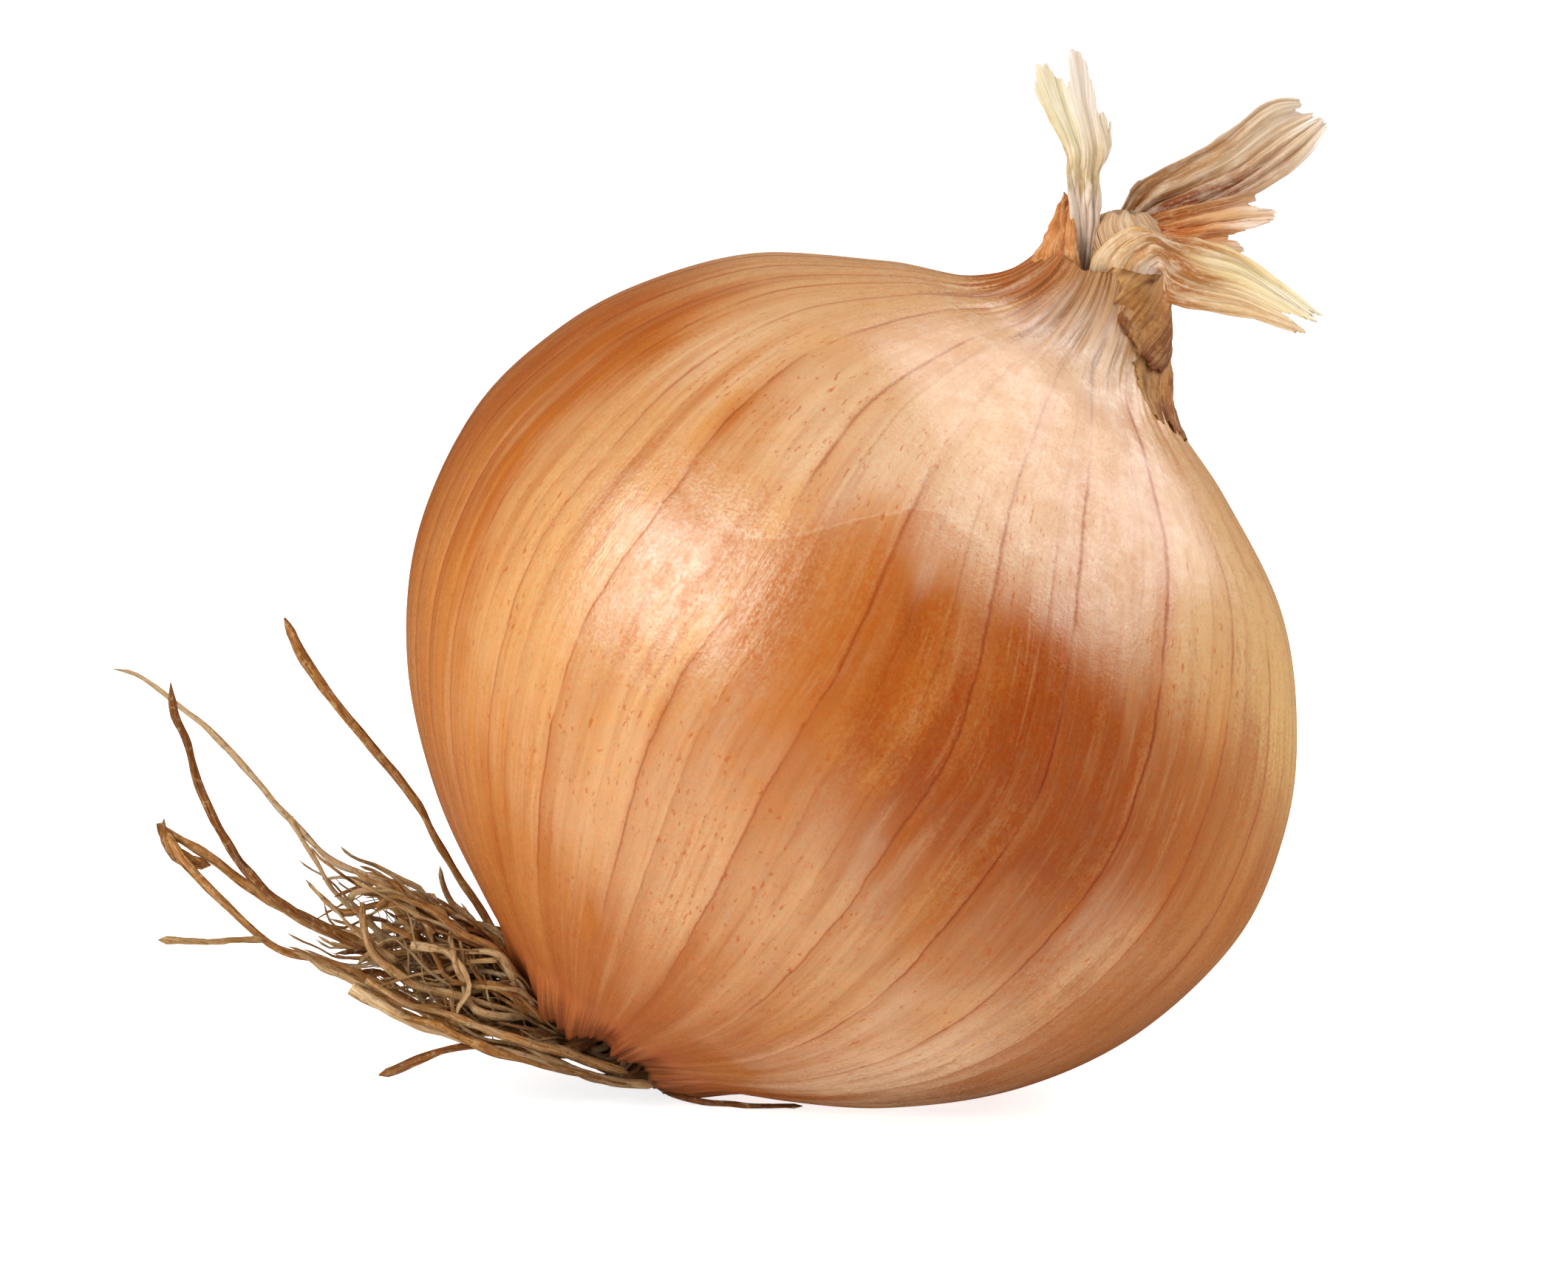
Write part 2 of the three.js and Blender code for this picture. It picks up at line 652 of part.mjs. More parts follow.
function floorCut() {
  const size = 200;
  return solidOf(new THREE.BoxGeometry(size, size, size).translate(0, 0, -size / 2));
}

const solids = {};
for (const [name, form] of Object.entries(leaves)) solids[name] = leaf(form);
const slots = Object.values(leaves).map((form) => leaf(form, GAP));
solids.neck = mainBody(sheathSolid().subtract(wasm.Manifold.union(slots)));
const bulbCuts = wasm.Manifold.union([collarCut(), sheathSolid(GAP), floorCut(), ...slots]);
solids.bulb = mainBody(bulbSolid().subtract(bulbCuts));
solids.roots = rootsSolid();

const finish = {
  bulb: { color: COLOURS.skin, roughness: 0.42 },
  neck: { color: COLOURS.sheath, roughness: 0.75 },
  leaf_left: { color: COLOURS.pale_leaf, roughness: 0.75 },
  leaf_back: { color: COLOURS.brown_leaf, roughness: 0.75 },
  leaf_middle: { color: COLOURS.brown_leaf, roughness: 0.75 },
  leaf_front: { color: COLOURS.pale_leaf, roughness: 0.75 },
  skin_point: { color: COLOURS.flap, roughness: 0.7 },
  flap_upper: { color: COLOURS.flap, roughness: 0.7 },
  flap_lower: { color: COLOURS.flap, roughness: 0.7 },
  roots: { color: COLOURS.root, roughness: 0.85 },
};

const onion = new THREE.Group();
onion.name = "onion";
for (const [name, look] of Object.entries(finish)) {
  const material = new THREE.MeshStandardMaterial({ ...look, metalness: 0 });
  const mesh = new THREE.Mesh(geometryOf(solids[name]), material);
  mesh.name = name;
  onion.add(mesh);
}

export default onion;
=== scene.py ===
# %% [markdown]
# # A dry onion, lying as it comes to rest
#
# A bulb onion is a stack of fleshy leaf bases inside a few papery skins. From outside there are
# four things to make: the glossy bulb, the fibrous neck where the skins were cut, the torn dry
# leaves that stick out of it, and the tuft of roots at the other end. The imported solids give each
# of them its place and size. Every piece here is a finer version of one of those solids.

# %% The frame and the box it fills
import json
import math
import random

import bmesh
import bpy
import numpy as np
from mathutils import Matrix, Vector, noise

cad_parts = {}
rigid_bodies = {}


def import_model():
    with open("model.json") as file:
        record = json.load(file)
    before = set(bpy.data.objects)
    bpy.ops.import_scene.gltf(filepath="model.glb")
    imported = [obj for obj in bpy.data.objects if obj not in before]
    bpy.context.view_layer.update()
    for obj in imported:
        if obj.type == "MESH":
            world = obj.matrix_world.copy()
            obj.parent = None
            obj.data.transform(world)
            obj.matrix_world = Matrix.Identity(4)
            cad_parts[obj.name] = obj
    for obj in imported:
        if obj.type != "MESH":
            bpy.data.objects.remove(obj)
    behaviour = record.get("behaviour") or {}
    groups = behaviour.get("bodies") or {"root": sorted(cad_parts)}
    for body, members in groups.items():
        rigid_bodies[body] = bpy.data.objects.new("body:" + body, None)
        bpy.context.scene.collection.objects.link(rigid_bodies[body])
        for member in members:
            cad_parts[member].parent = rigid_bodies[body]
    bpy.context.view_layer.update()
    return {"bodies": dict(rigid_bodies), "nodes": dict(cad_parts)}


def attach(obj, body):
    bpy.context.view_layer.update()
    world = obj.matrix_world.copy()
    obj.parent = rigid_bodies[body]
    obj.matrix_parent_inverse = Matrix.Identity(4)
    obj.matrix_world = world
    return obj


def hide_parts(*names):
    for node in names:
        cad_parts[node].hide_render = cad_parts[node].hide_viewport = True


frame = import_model()
BODY = next(iter(frame["bodies"]))
print("nodes:", ", ".join(sorted(frame["nodes"])), "on body", BODY)

# %% [markdown]
# The whole scene is worked out in millimetres and made metres only when a piece is finished.
# Two frames are useful: the part's own, with the floor at zero, and the bulb's, whose Z runs
# along the onion's axis from the roots to the neck. One matrix leads from the second to the first.

# %% The two frames
MM = 0.001
FULL_TURN = 2 * math.pi
BULB_RADIUS = 42.0
LEAN = math.radians(34.7)
CENTRE = Vector((-1.95, 0.0, 38.25))
BULB_TO_PART = Matrix.Translation(CENTRE) @ Matrix.Rotation(LEAN, 4, "Y")


def to_part(points):
    """Rows of points from the bulb's frame to the part's."""
    turn = np.array(BULB_TO_PART)
    return np.asarray(points) @ turn[:3, :3].T + turn[:3, 3]


print("the bulb's middle is", tuple(CENTRE), "mm, and its axis leans", round(math.degrees(LEAN), 1))

# %% [markdown]
# ## Small tools
#
# Node trees are easier to read when a node and its inputs are made on one line. `Nodes` does that
# for any tree. `Group` is a tree that several finishes share, built once with inputs of its own,
# and `Finish` is a material that is built up in layers of colour, as a painter would glaze it.


# %% Nodes in a tree
def colour(hex_code):
    """A colour as it looks on a screen, made linear for the shader."""
    parts = [int(hex_code[i:i + 2], 16) / 255 for i in (0, 2, 4)]
    return (*[c / 12.92 if c <= 0.04045 else ((c + 0.055) / 1.055) ** 2.4 for c in parts], 1.0)


class Nodes:
    """Makes nodes in one tree."""

    def __init__(self, tree):
        self.tree = tree

    def plug(self, socket, value):
        """Links a socket to another one, or sets its value."""
        if isinstance(value, bpy.types.NodeSocket):
            self.tree.links.new(value, socket)
        else:
            socket.default_value = value

    def add(self, kind, inputs=None, **settings):
        made = self.tree.nodes.new("ShaderNode" + kind)
        for key, value in settings.items():
            setattr(made, key, value)
        for key, value in (inputs or {}).items():
            self.plug(made.inputs[key], value)
        return made

    def calc(self, operation, *values):
        """The result of a math node."""
        return self.add("Math", dict(enumerate(values)), operation=operation).outputs[0]

    def product(self, first, *others):
        for value in others:
            first = self.calc("MULTIPLY", first, value)
        return first

    def total(self, first, *others):
        for value in others:
            first = self.calc("ADD", first, value)
        return first

    def swing(self, value, size):
        """A value between 0 and 1, made to swing evenly about zero."""
        return self.calc("MULTIPLY_ADD", value, size, -size / 2)

    def vector_calc(self, operation, *values):
        node = self.add("VectorMath", dict(enumerate(values)), operation=operation)
        return node.outputs["Value" if operation == "LENGTH" else "Vector"]

    def split(self, vector):
        return self.add("SeparateXYZ", {"Vector": vector}).outputs

    def fade(self, value, start, end, low=0.0, high=1.0):
        """Goes smoothly from low to high as the value goes from start to end."""
        inputs = {"Value": value, "From Min": start, "From Max": end, "To Min": low, "To Max": high}
        return self.add("MapRange", inputs, interpolation_type="SMOOTHSTEP").outputs["Result"]

    def blend(self, factor, first, second, how="MIX"):
        """Two colours mixed by a factor."""
        node = self.add("Mix", data_type="RGBA", blend_type=how)
        for place, value in zip((0, 6, 7), (factor, first, second)):
            self.plug(node.inputs[place], value)
        return node.outputs[2]

    def noise(self, vector, scale, detail=2.0, roughness=0.5):
        inputs = {"Vector": vector, "Scale": scale, "Detail": detail, "Roughness": roughness}
        return self.add("TexNoise", inputs).outputs["Fac"]

    def chance(self, number):
        """A random value between 0 and 1 that belongs to a whole number."""
        return self.add("TexWhiteNoise", {"W": number}, noise_dimensions="1D").outputs["Value"]

    def shades(self, factor, *stops):
        """A colour ramp from (place, hex) pairs."""
        node = self.add("ValToRGB", {"Fac": factor})
        ramp = node.color_ramp
        while len(ramp.elements) < len(stops):
            ramp.elements.new(1.0)
        for element, (place, hex_code) in zip(ramp.elements, stops):
            element.position = place
            element.color = colour(hex_code)
        return node.outputs["Color"]

    def use(self, group, output, **inputs):
        """One output of a shader group. Words in an input's name are joined by an underscore."""
        node = self.add("Group", node_tree=group)
        for key, value in inputs.items():
            self.plug(node.inputs[key.replace("_", " ")], value)
        return node.outputs[output]


print("half grey on a screen is", round(colour("808080")[0], 3), "to the shader")


# %% Groups and finishes
class Group(Nodes):
    """A shader group with named inputs, each with its usual value, and one named output."""

    def __init__(self, name, inputs, output):
        super().__init__(bpy.data.node_groups.new(name, "ShaderNodeTree"))
        for label, value in inputs.items():
            kind = "NodeSocketFloat" if isinstance(value, float) else "NodeSocketVector"
            socket = self.tree.interface.new_socket(label, in_out="INPUT", socket_type=kind)
            socket.default_value = value
        self.tree.interface.new_socket(output, in_out="OUTPUT", socket_type="NodeSocketFloat")
        self.given = self.tree.nodes.new("NodeGroupInput").outputs
        self.result = self.tree.nodes.new("NodeGroupOutput").inputs[output]


class Finish(Nodes):
    """A material on the Principled shader. `tone` holds the layers of colour laid so far."""

    def __init__(self, name, roughness):
        self.material = bpy.data.materials.new(name)
        self.material.use_nodes = True
        super().__init__(self.material.node_tree)
        self.shader = self.tree.nodes["Principled BSDF"]
        self.set("Roughness", roughness)

    def set(self, name, value):
        self.plug(self.shader.inputs[name], value)

    def attribute(self, name, output="Vector"):
        return self.add("Attribute", attribute_name=name).outputs[output]

    def streaks(self, across, along, contrast):
        """Fibres along the piece's grain."""
        return self.use(fibres, "Streaks", Grain=self.grain, Across=across, Along=along, Contrast=contrast)

    def tint(self, paint, *masks, how="MIX"):
        """Another layer of colour, as strong as the product of its masks."""
        paint = colour(paint) if isinstance(paint, str) else paint
        self.tone = self.blend(self.product(*masks), self.tone, paint, how)

    def raise_by(self, *layers):
        """A bump from (pattern, height in millimetres) pairs, one on top of the other."""
        relief = 0.0
        for pattern, height in layers:
            relief = self.calc("MULTIPLY_ADD", pattern, height, relief)
        bump = self.add("Bump", {"Height": relief, "Distance": MM, "Strength": 1.0})
        self.set("Normal", bump.outputs["Normal"])


print("node tools ready")

# %% Group: fibres
group = Group("fibres", {"Grain": (0, 0, 0), "Across": 60.0, "Along": 3.0, "Contrast": 1.0}, "Streaks")
across, along = group.given["Across"], group.given["Along"]
fineness = group.add("CombineXYZ", {"X": across, "Y": across, "Z": along}).outputs["Vector"]
stretched = group.vector_calc("MULTIPLY", group.given["Grain"], fineness)
centred = group.calc("SUBTRACT", group.noise(stretched, 1.0, 3.0, 0.55), 0.5)
stronger = group.calc("MULTIPLY_ADD", centred, group.given["Contrast"], 0.5)
group.plug(group.result, group.calc("MINIMUM", group.calc("MAXIMUM", stronger, 0.0), 1.0))
fibres = group.tree
print("group", fibres.name)

# %% Group: thin lines at whole numbers
group = Group("thin_lines", {"Phase": 0.0, "Half Width": 0.03, "Seed": 0.0, "Fading": 0.0}, "Line")
phase = group.given["Phase"]
nearest = group.calc("ROUND", phase)
off_line = group.calc("ABSOLUTE", group.calc("SUBTRACT", phase, nearest))
inside = group.calc("DIVIDE", off_line, group.given["Half Width"])
drawn = group.calc("POWER", math.e, group.product(inside, inside, -1.0))
missing = group.product(group.chance(group.total(nearest, group.given["Seed"])), group.given["Fading"])
group.plug(group.result, group.product(drawn, group.calc("SUBTRACT", 1.0, missing)))
thin_lines = group.tree
print("group", thin_lines.name)

# %% Group: a soft area round a point
group = Group("soft_area", {
    "Place": (0, 0, 0), "Middle": (0, 0, 0), "Reach": (1, 1, 1), "Waver": 0.0, "Softness": 0.5,
}, "Mask")
offset = group.vector_calc("SUBTRACT", group.given["Place"], group.given["Middle"])
distance = group.vector_calc("LENGTH", group.vector_calc("DIVIDE", offset, group.given["Reach"]))
inner = group.calc("SUBTRACT", 1.0, group.given["Softness"])
outer = group.total(1.0, group.given["Softness"])
group.plug(group.result, group.fade(group.total(distance, group.given["Waver"]), inner, outer, 1.0, 0.0))
soft_area = group.tree
print("group", soft_area.name)


# %% Finishing a piece
def finish_piece(name, piece, finish, slot, *nodes, thickness=0.0):
    """Turns a bmesh in millimetres into an object in metres that stands for its CAD nodes."""
    bmesh.ops.scale(piece, vec=(MM, MM, MM), verts=piece.verts)
    data = bpy.data.meshes.new(name)
    piece.to_mesh(data)
    piece.free()
    data.shade_smooth()
    data.materials.append(finish.material)
    made = bpy.data.objects.new(name, data)
    bpy.context.scene.collection.objects.link(made)
    if thickness:
        wall = made.modifiers.new("wall", "SOLIDIFY")
        wall.thickness, wall.offset = thickness * MM, 0
    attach(made, BODY)
    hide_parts(*nodes)
    corners = np.array([v.co for v in data.vertices]) / MM
    print(name, sum(len(p.vertices) - 2 for p in data.polygons), "triangles,",
          "from", corners.min(0).round(1), "to", corners.max(0).round(1), "mm")


def spun_tube(stations, columns):
    """An upright tube of radius 1, with a ring of points at each whole height."""
    tube = bmesh.new()
    ladder = [tube.verts.new((0, 1, k)) for k in range(stations)]
    rungs = [tube.edges.new(pair) for pair in zip(ladder, ladder[1:])]
    bmesh.ops.spin(
        tube, geom=ladder + rungs, cent=(0, 0, 0), axis=(0, 0, 1), dvec=(0, 0, 0),
        angle=FULL_TURN, steps=columns, use_merge=True, use_normal_flip=False, use_duplicate=False,
    )
    return tube


def close_up(piece):
    """Joins the points that meet, such as those at a pole, and turns all faces outwards."""
    bmesh.ops.remove_doubles(piece, verts=piece.verts, dist=0.002)
    bmesh.ops.recalc_face_normals(piece, faces=piece.faces)


print("piece tools ready")

# %% [markdown]
# ## Camera and light
#
# The camera looks along +Y from 8 degrees above the horizon, from far enough away that the onion
# keeps its true outline. Glossy skin shows what is round it, so the light is a studio's: one soft
# box at the left in front, a larger one high at the right behind, a weak one overhead, and a pale
# floor that brightens the underside. What no lamp covers stays dark, and the skin's own colour
# shows there.

# %% Camera
CAMERA_DISTANCE = 1.0
CAMERA_ELEVATION = math.radians(8)
VIEW_WIDTH = 0.142
AIM = Vector((-8.24, 0.0, 41.63)) * MM

camera_data = bpy.data.cameras.new("camera")
camera_data.lens = camera_data.sensor_width * CAMERA_DISTANCE / VIEW_WIDTH
camera_data.clip_start = 0.05
camera_data.clip_end = 20
camera = bpy.data.objects.new("camera", camera_data)
towards_camera = Vector((0, -math.cos(CAMERA_ELEVATION), math.sin(CAMERA_ELEVATION)))
camera.location = AIM + towards_camera * CAMERA_DISTANCE
camera.rotation_euler = (-towards_camera).to_track_quat("-Z", "Y").to_euler()
bpy.context.scene.collection.objects.link(camera)
bpy.context.scene.camera = camera
bpy.context.scene.view_settings.view_transform = "Standard"
print("lens", round(camera_data.lens), "mm")


# %% Lamps
def soft_box(name, azimuth, elevation, distance, size, power):
    """A rectangular lamp that faces the onion. Azimuth is to the right of the camera."""
    lamp = bpy.data.lights.new(name, "AREA")
    lamp.shape = "RECTANGLE"
    lamp.size, lamp.size_y = size
    lamp.energy = power
    a, e = math.radians(azimuth), math.radians(elevation)
    away = Vector((math.sin(a) * math.cos(e), -math.cos(a) * math.cos(e), math.sin(e)))
    holder = bpy.data.objects.new(name, lamp)
    holder.location = AIM + away * distance
    holder.rotation_euler = away.to_track_quat("Z", "Y").to_euler()
    bpy.context.scene.collection.objects.link(holder)


soft_box("left_box", -51, 31, 0.75, (0.54, 0.58), 6.1)
soft_box("right_box", 106, 43, 0.75, (0.95, 0.72), 7.0)
soft_box("front_fill", 5, 60, 1.1, (0.9, 0.5), 1.0)
print("lamps:", [light.name for light in bpy.data.lights])

# %% Floor and surroundings
FLOOR_SIZE = 6.0
SEEN_GLOW, LIT_GLOW = 0.8, 0.35  # how bright the floor is to the camera, and to what it lights
PALE, REFLECTED = (0.85, 0.85, 0.85, 1), (0.14, 0.12, 0.1, 1)  # the floor itself, and in a reflection
WHITE = (1, 1, 1, 1)

paper = Finish("white_paper", 0.95)
rays = paper.add("LightPath").outputs
lit = paper.product(rays["Is Diffuse Ray"], LIT_GLOW)
paper.set("Emission Color", WHITE)
paper.set("Emission Strength", paper.calc("MULTIPLY_ADD", rays["Is Camera Ray"], SEEN_GLOW, lit))
paper.set("Base Color", paper.blend(rays["Is Glossy Ray"], PALE, REFLECTED))

sheet = bmesh.new()
bmesh.ops.create_grid(sheet, x_segments=1, y_segments=1, size=FLOOR_SIZE / 2)
floor_data = bpy.data.meshes.new("floor")
sheet.to_mesh(floor_data)
sheet.free()
floor_data.materials.append(paper.material)
floor = bpy.data.objects.new("floor", floor_data)
bpy.context.scene.collection.objects.link(floor)

world = bpy.data.worlds.new("studio")
world.use_nodes = True
backdrop = world.node_tree.nodes["Background"].inputs
backdrop["Color"].default_value = WHITE
backdrop["Strength"].default_value = 0.1
bpy.context.scene.world = world
print("floor", FLOOR_SIZE, "m square")

# %% [markdown]
# ## The bulb
#
# Without its veins the bulb is a turned shape: an outline spun round the axis. Its radius is
# known at each height, so the spin can be a plain upright tube of the right number of rings and
# columns, and a formula then gives each ring its radius and height. That keeps the relief of
# veins, folds and torn edges in one place.

# %% Outline of the bulb
BULB_OUTLINE = [
    (9.0, -38.7), (16.9, -34.9), (25.7, -29.4), (34.1, -21.4), (39.8, -11.4), (BULB_RADIUS, 0.7),
    (40.1, 10.7), (36.0, 18.7), (29.0, 26.6), (18.9, 32.6), (11.4, 36.0), (7.9, 40.0), (6.1, 44.0),
    (4.9, 48.6),
]


def curve_through(points, samples):
    """Points along a uniform Catmull-Rom curve, the same number between each pair."""
    p = np.asarray(points, float)
    p = np.vstack([p[:1], p, p[-1:]])
    t = np.linspace(0, 1, samples, endpoint=False)[:, None]
    rows = []
    for a, b, c, d in zip(p, p[1:], p[2:], p[3:]):
        ta, tb = (c - a) / 2, (d - b) / 2
        rows.append((2 * b - 2 * c + ta + tb) * t**3 + (3 * c - 3 * b - 2 * ta - tb) * t**2 + ta * t + b)
    return np.vstack([*rows, p[-1:]])


def lengths_along(line):
    """How far each point of a line is from its start, along it."""
    return np.concatenate([[0], np.cumsum(np.linalg.norm(np.diff(line, axis=0), axis=1))])


def ease(x, start, end, low=0.0, high=1.0):
    """Goes smoothly from low to high as x goes from start to end."""
    share = np.clip((np.asarray(x, float) - start) / (end - start), 0, 1)
    return low + (high - low) * share * share * (3 - 2 * share)


outline = curve_through(BULB_OUTLINE, 60)
outline_length = lengths_along(outline)
print("outline", round(float(outline_length[-1]), 1), "mm long")

# %% The smooth skin
SLOPE_STEP = 0.3
NECK_BEND, NECK_BEND_STARTS = 0.037, 38


def radius_at(height):
    return np.interp(height, outline[:, 1], outline[:, 0])


def neck_bend(height):
    """The neck's middle leaves the axis to the left."""
    return -ease(height, 28, 37) - NECK_BEND * np.maximum(0, height - NECK_BEND_STARTS) ** 2


def on_skin(angle, height, lift=0.0):
    """Points in the bulb's frame. Angle 0 faces the front (-Y) and grows to the right (+X)."""
    slope = (radius_at(height + SLOPE_STEP) - radius_at(height - SLOPE_STEP)) / (2 * SLOPE_STEP)
    tilt = np.sqrt(1 + slope**2)
    radius = radius_at(height) + lift / tilt
    flatness = ease(height, 34, 46, 1, 0.8)
    x = neck_bend(height) + radius * np.sin(angle)
    y = -radius * flatness * np.cos(angle)
    return np.stack([x, y, height - lift * slope / tilt], -1)


print("neck leans", round(float(-neck_bend(44.0)), 1), "mm to the left near its end")

# %% [markdown]
# Veins run from the roots to the neck. On the front they are set one by one, each by its angle
# near the neck, at the middle and near the roots. The rest follow with a seeded, uneven spacing.

# %% Veins
FRONT_VEINS = [
    (-80, -77, -70), (-72, -69, -63), (-66, -61, -55), (-57, -50, -44), (-46, -37.5, -32), (-31, -22, -17),
    (-17, -7, -1), (-4, 10, 14), (10, 22.5, 26), (30, 36, 38), (50, 49, 50), (64, 62, 62), (77, 76, 76),
]
BACK_VEINS, UNEVENNESS = 14, 2.6
place = random.Random(7)
back = np.linspace(FRONT_VEINS[-1][1], FRONT_VEINS[0][1] + 360, BACK_VEINS + 2)[1:-1]
back = back + [place.uniform(-UNEVENNESS, UNEVENNESS) for _ in range(BACK_VEINS)]
veins = np.radians(FRONT_VEINS + [(a - place.uniform(0, 5), a, a + place.uniform(0, 4)) for a in back])
VEINS = len(veins)
vein_strength = np.array([place.uniform(0.5, 1.0) for _ in range(VEINS)])


def vein_phase(angle, height):
    """How many veins lie between the first one and this place, and the angle from vein to vein."""
    near_neck, middle, near_roots = veins.T
    at = middle + np.outer(ease(height, 2, 36), near_neck - middle)
    at += np.outer(ease(height, 0, -35), near_roots - middle)
    turned = at[:, 0] + (angle - at[:, 0]) % FULL_TURN
    at = np.hstack([at, at[:, :1] + FULL_TURN])
    below = (at <= turned[:, None] + 1e-9).sum(1).clip(1, VEINS) - 1
    rows = np.arange(len(at))
    left, right = at[rows, below], at[rows, below + 1]
    return below + (turned - left) / (right - left), right - left


print(VEINS, "veins")

# %% [markdown]
# The skins were cut straight across at the neck. The cut steps up on the left, so each column of
# the tube gets its own height for it. Below the cut the papery skin dries into folds.

# %% The cut edge at the neck
COLLAR_LINE = [(4, 44.0), (17.2, 40.0), (19.8, 38.4), (20.2, 37.8), (27.6, 36.7), (40, 34.8)]
COLLAR_STEPS = 180


def collar_heights():
    """The height along the axis of the cut edge, for angles all the way round."""
    angles = np.linspace(-math.pi, math.pi, COLLAR_STEPS + 1)
    heights = np.linspace(34, 48.5, 300)
    line = np.array(COLLAR_LINE) + [CENTRE.x, CENTRE.z]
    found = []
    for angle in angles:
        points = to_part(on_skin(np.full_like(heights, angle), heights))
        over = points[:, 2] > np.interp(points[:, 0], line[:, 0], line[:, 1])
        found.append(heights[over.argmax()] if over.any() else heights[-1])
    return angles, np.array(found)


collar_angles, collar = collar_heights()
print("cut edge from", collar.min().round(1), "to", collar.max().round(1), "mm along the axis")

# %% Relief of the skin, in millimetres
GROOVE_DEPTH, GROOVE_WIDTH, PANEL_BULGE, BROAD_WAVES = 0.018, 0.6, 0.1, 0.5
NECK_FOLDS, NECK_WAVES, FINE_FOLDS, CREASE_DEPTH, CRUMPLE = 0.22, 0.36, 0.36, 0.22, 0.25
ROOT_END_WAVES = 0.3
UNDER_FLAPS = 0.85  # the share of the relief that lies flat under the torn flaps
relief_noise = random.Random(3)
fold_shift = [relief_noise.uniform(0, 20) for _ in range(6)]


def wrinkles(angle, height, count, stretch, seed):
    """Seamless noise that is fine round the bulb and long along it."""
    scale = count / FULL_TURN
    return np.array([
        noise.noise(Vector((math.cos(a) * scale, math.sin(a) * scale, h / stretch + seed)))
        for a, h in zip(angle, height)
    ])


def neck_creases(angle, height):
    """Sharp valleys between the dried fibres of the neck, from 0 to 1."""
    wide = wrinkles(angle, height, 13, 30, fold_shift[5]) / 0.07
    narrow = wrinkles(angle, height, 40, 24, fold_shift[5] + 3) / 0.09
    return np.minimum(1, np.exp(-wide**2) + 0.6 * np.exp(-narrow**2)) * ease(height, 33, 39)


def skin_relief(angle, height, collar_here):
    """How far the skin stands out or in."""
    phase, spacing = vein_phase(angle, height)
    nearest = np.round(phase).astype(int) % VEINS
    panel_strength = vein_strength[np.floor(phase).astype(int) % VEINS]
    panel = 4 * (phase % 1) * (1 - phase % 1)
    off = np.abs(phase - np.round(phase)) * spacing * radius_at(height)
    on_middle = ease(height, -37, -28) * ease(height, 33, 24)
    body = -GROOVE_DEPTH * vein_strength[nearest] * np.exp(-((off / GROOVE_WIDTH) ** 2))
    body += PANEL_BULGE * (panel_strength - 0.3) * panel
    body += BROAD_WAVES * wrinkles(angle, height, 7, 30, fold_shift[3])
    neck = NECK_FOLDS * (panel - 0.6) + NECK_WAVES * wrinkles(angle, height, 24, 5, fold_shift[0])
    neck = ease(height, 31, 42) * neck - CREASE_DEPTH * neck_creases(angle, height)
    neck += ease(height, 34, 40) * FINE_FOLDS * wrinkles(angle, height, 80, 6, fold_shift[1])
    at_cut = ease(collar_here - height, 7, 0)
    neck += CRUMPLE * at_cut * wrinkles(angle, height, 30, 3, fold_shift[2])
    # The skin is smoother where the torn flaps lie on it.
    degrees = np.degrees(angle)
    upper = ease(degrees, 0, 10) * ease(degrees, 130, 118) * ease(height, 38.5, 40.5)
    lower = ease(degrees, 28, 38) * ease(degrees, 118, 108) * ease(height, 35, 37)
    bare = 1 - UNDER_FLAPS * np.maximum(upper, lower)
    ends = ROOT_END_WAVES * ease(height, -33, -38.7) * wrinkles(angle, height, 60, 6, fold_shift[4])
    return body * on_middle + neck * bare + ends


print("relief ready, creases as deep as", CREASE_DEPTH, "mm")

# %% [markdown]
# Round the roots the skin ends in a torn edge: lobes a few millimetres wide with fine teeth. At
# the neck the cut edge is as thin as paper and turns down into the gap round the inner leaves.

# %% The bulb's rings
COLUMNS = 384
LOW_RINGS, NECK_RINGS, NECK_STARTS = 118, 62, 0.82
REMAP_FROM, OUTLINE_TOP = 24.0, BULB_OUTLINE[-1][1]
HOLLOW = [(0, -37.3), (4.0, -37.3), (7.7, -37.3), (7.9, -38.0), (8.0, -38.8), (8.5, -39.05)]
TORN_FROM = 4  # the first ring of the hollow that follows the torn edge
LIP = [(-0.12, 0.0), (-0.4, -0.15), (-0.55, -1.0), (-0.8, -3.2)]
shares = np.concatenate([
    np.linspace(0, NECK_STARTS, LOW_RINGS, endpoint=False), np.linspace(NECK_STARTS, 1, NECK_RINGS),
])
ring_heights = np.interp(shares * outline_length[-1], outline_length, outline[:, 1])
STATIONS = len(HOLLOW) + len(ring_heights) + len(LIP) + 1
bulb = spun_tube(STATIONS, COLUMNS)
print("tube of", len(bulb.verts), "points")

# %% Shaping the bulb
bulb.verts.ensure_lookup_table()
tube = np.array([v.co for v in bulb.verts])
station = tube[:, 2].round().astype(int)
angle = np.arctan2(tube[:, 0], -tube[:, 1])
level_line = np.zeros_like(angle)
fray = 0.16 * wrinkles(angle, level_line, 90, 1, 4.5) + 0.22 * wrinkles(angle, level_line, 18, 1, 8.5)
edge_height = np.interp(angle, collar_angles, collar) + fray

first_skin = len(HOLLOW)
last_skin = first_skin + len(ring_heights) - 1
height = ring_heights[(station - first_skin).clip(0, len(ring_heights) - 1)]
over = np.maximum(0, height - REMAP_FROM) / (OUTLINE_TOP - REMAP_FROM)
height = np.where(height > REMAP_FROM, REMAP_FROM + over * (edge_height - REMAP_FROM), height)
points = on_skin(angle, height, skin_relief(angle, height, edge_height))

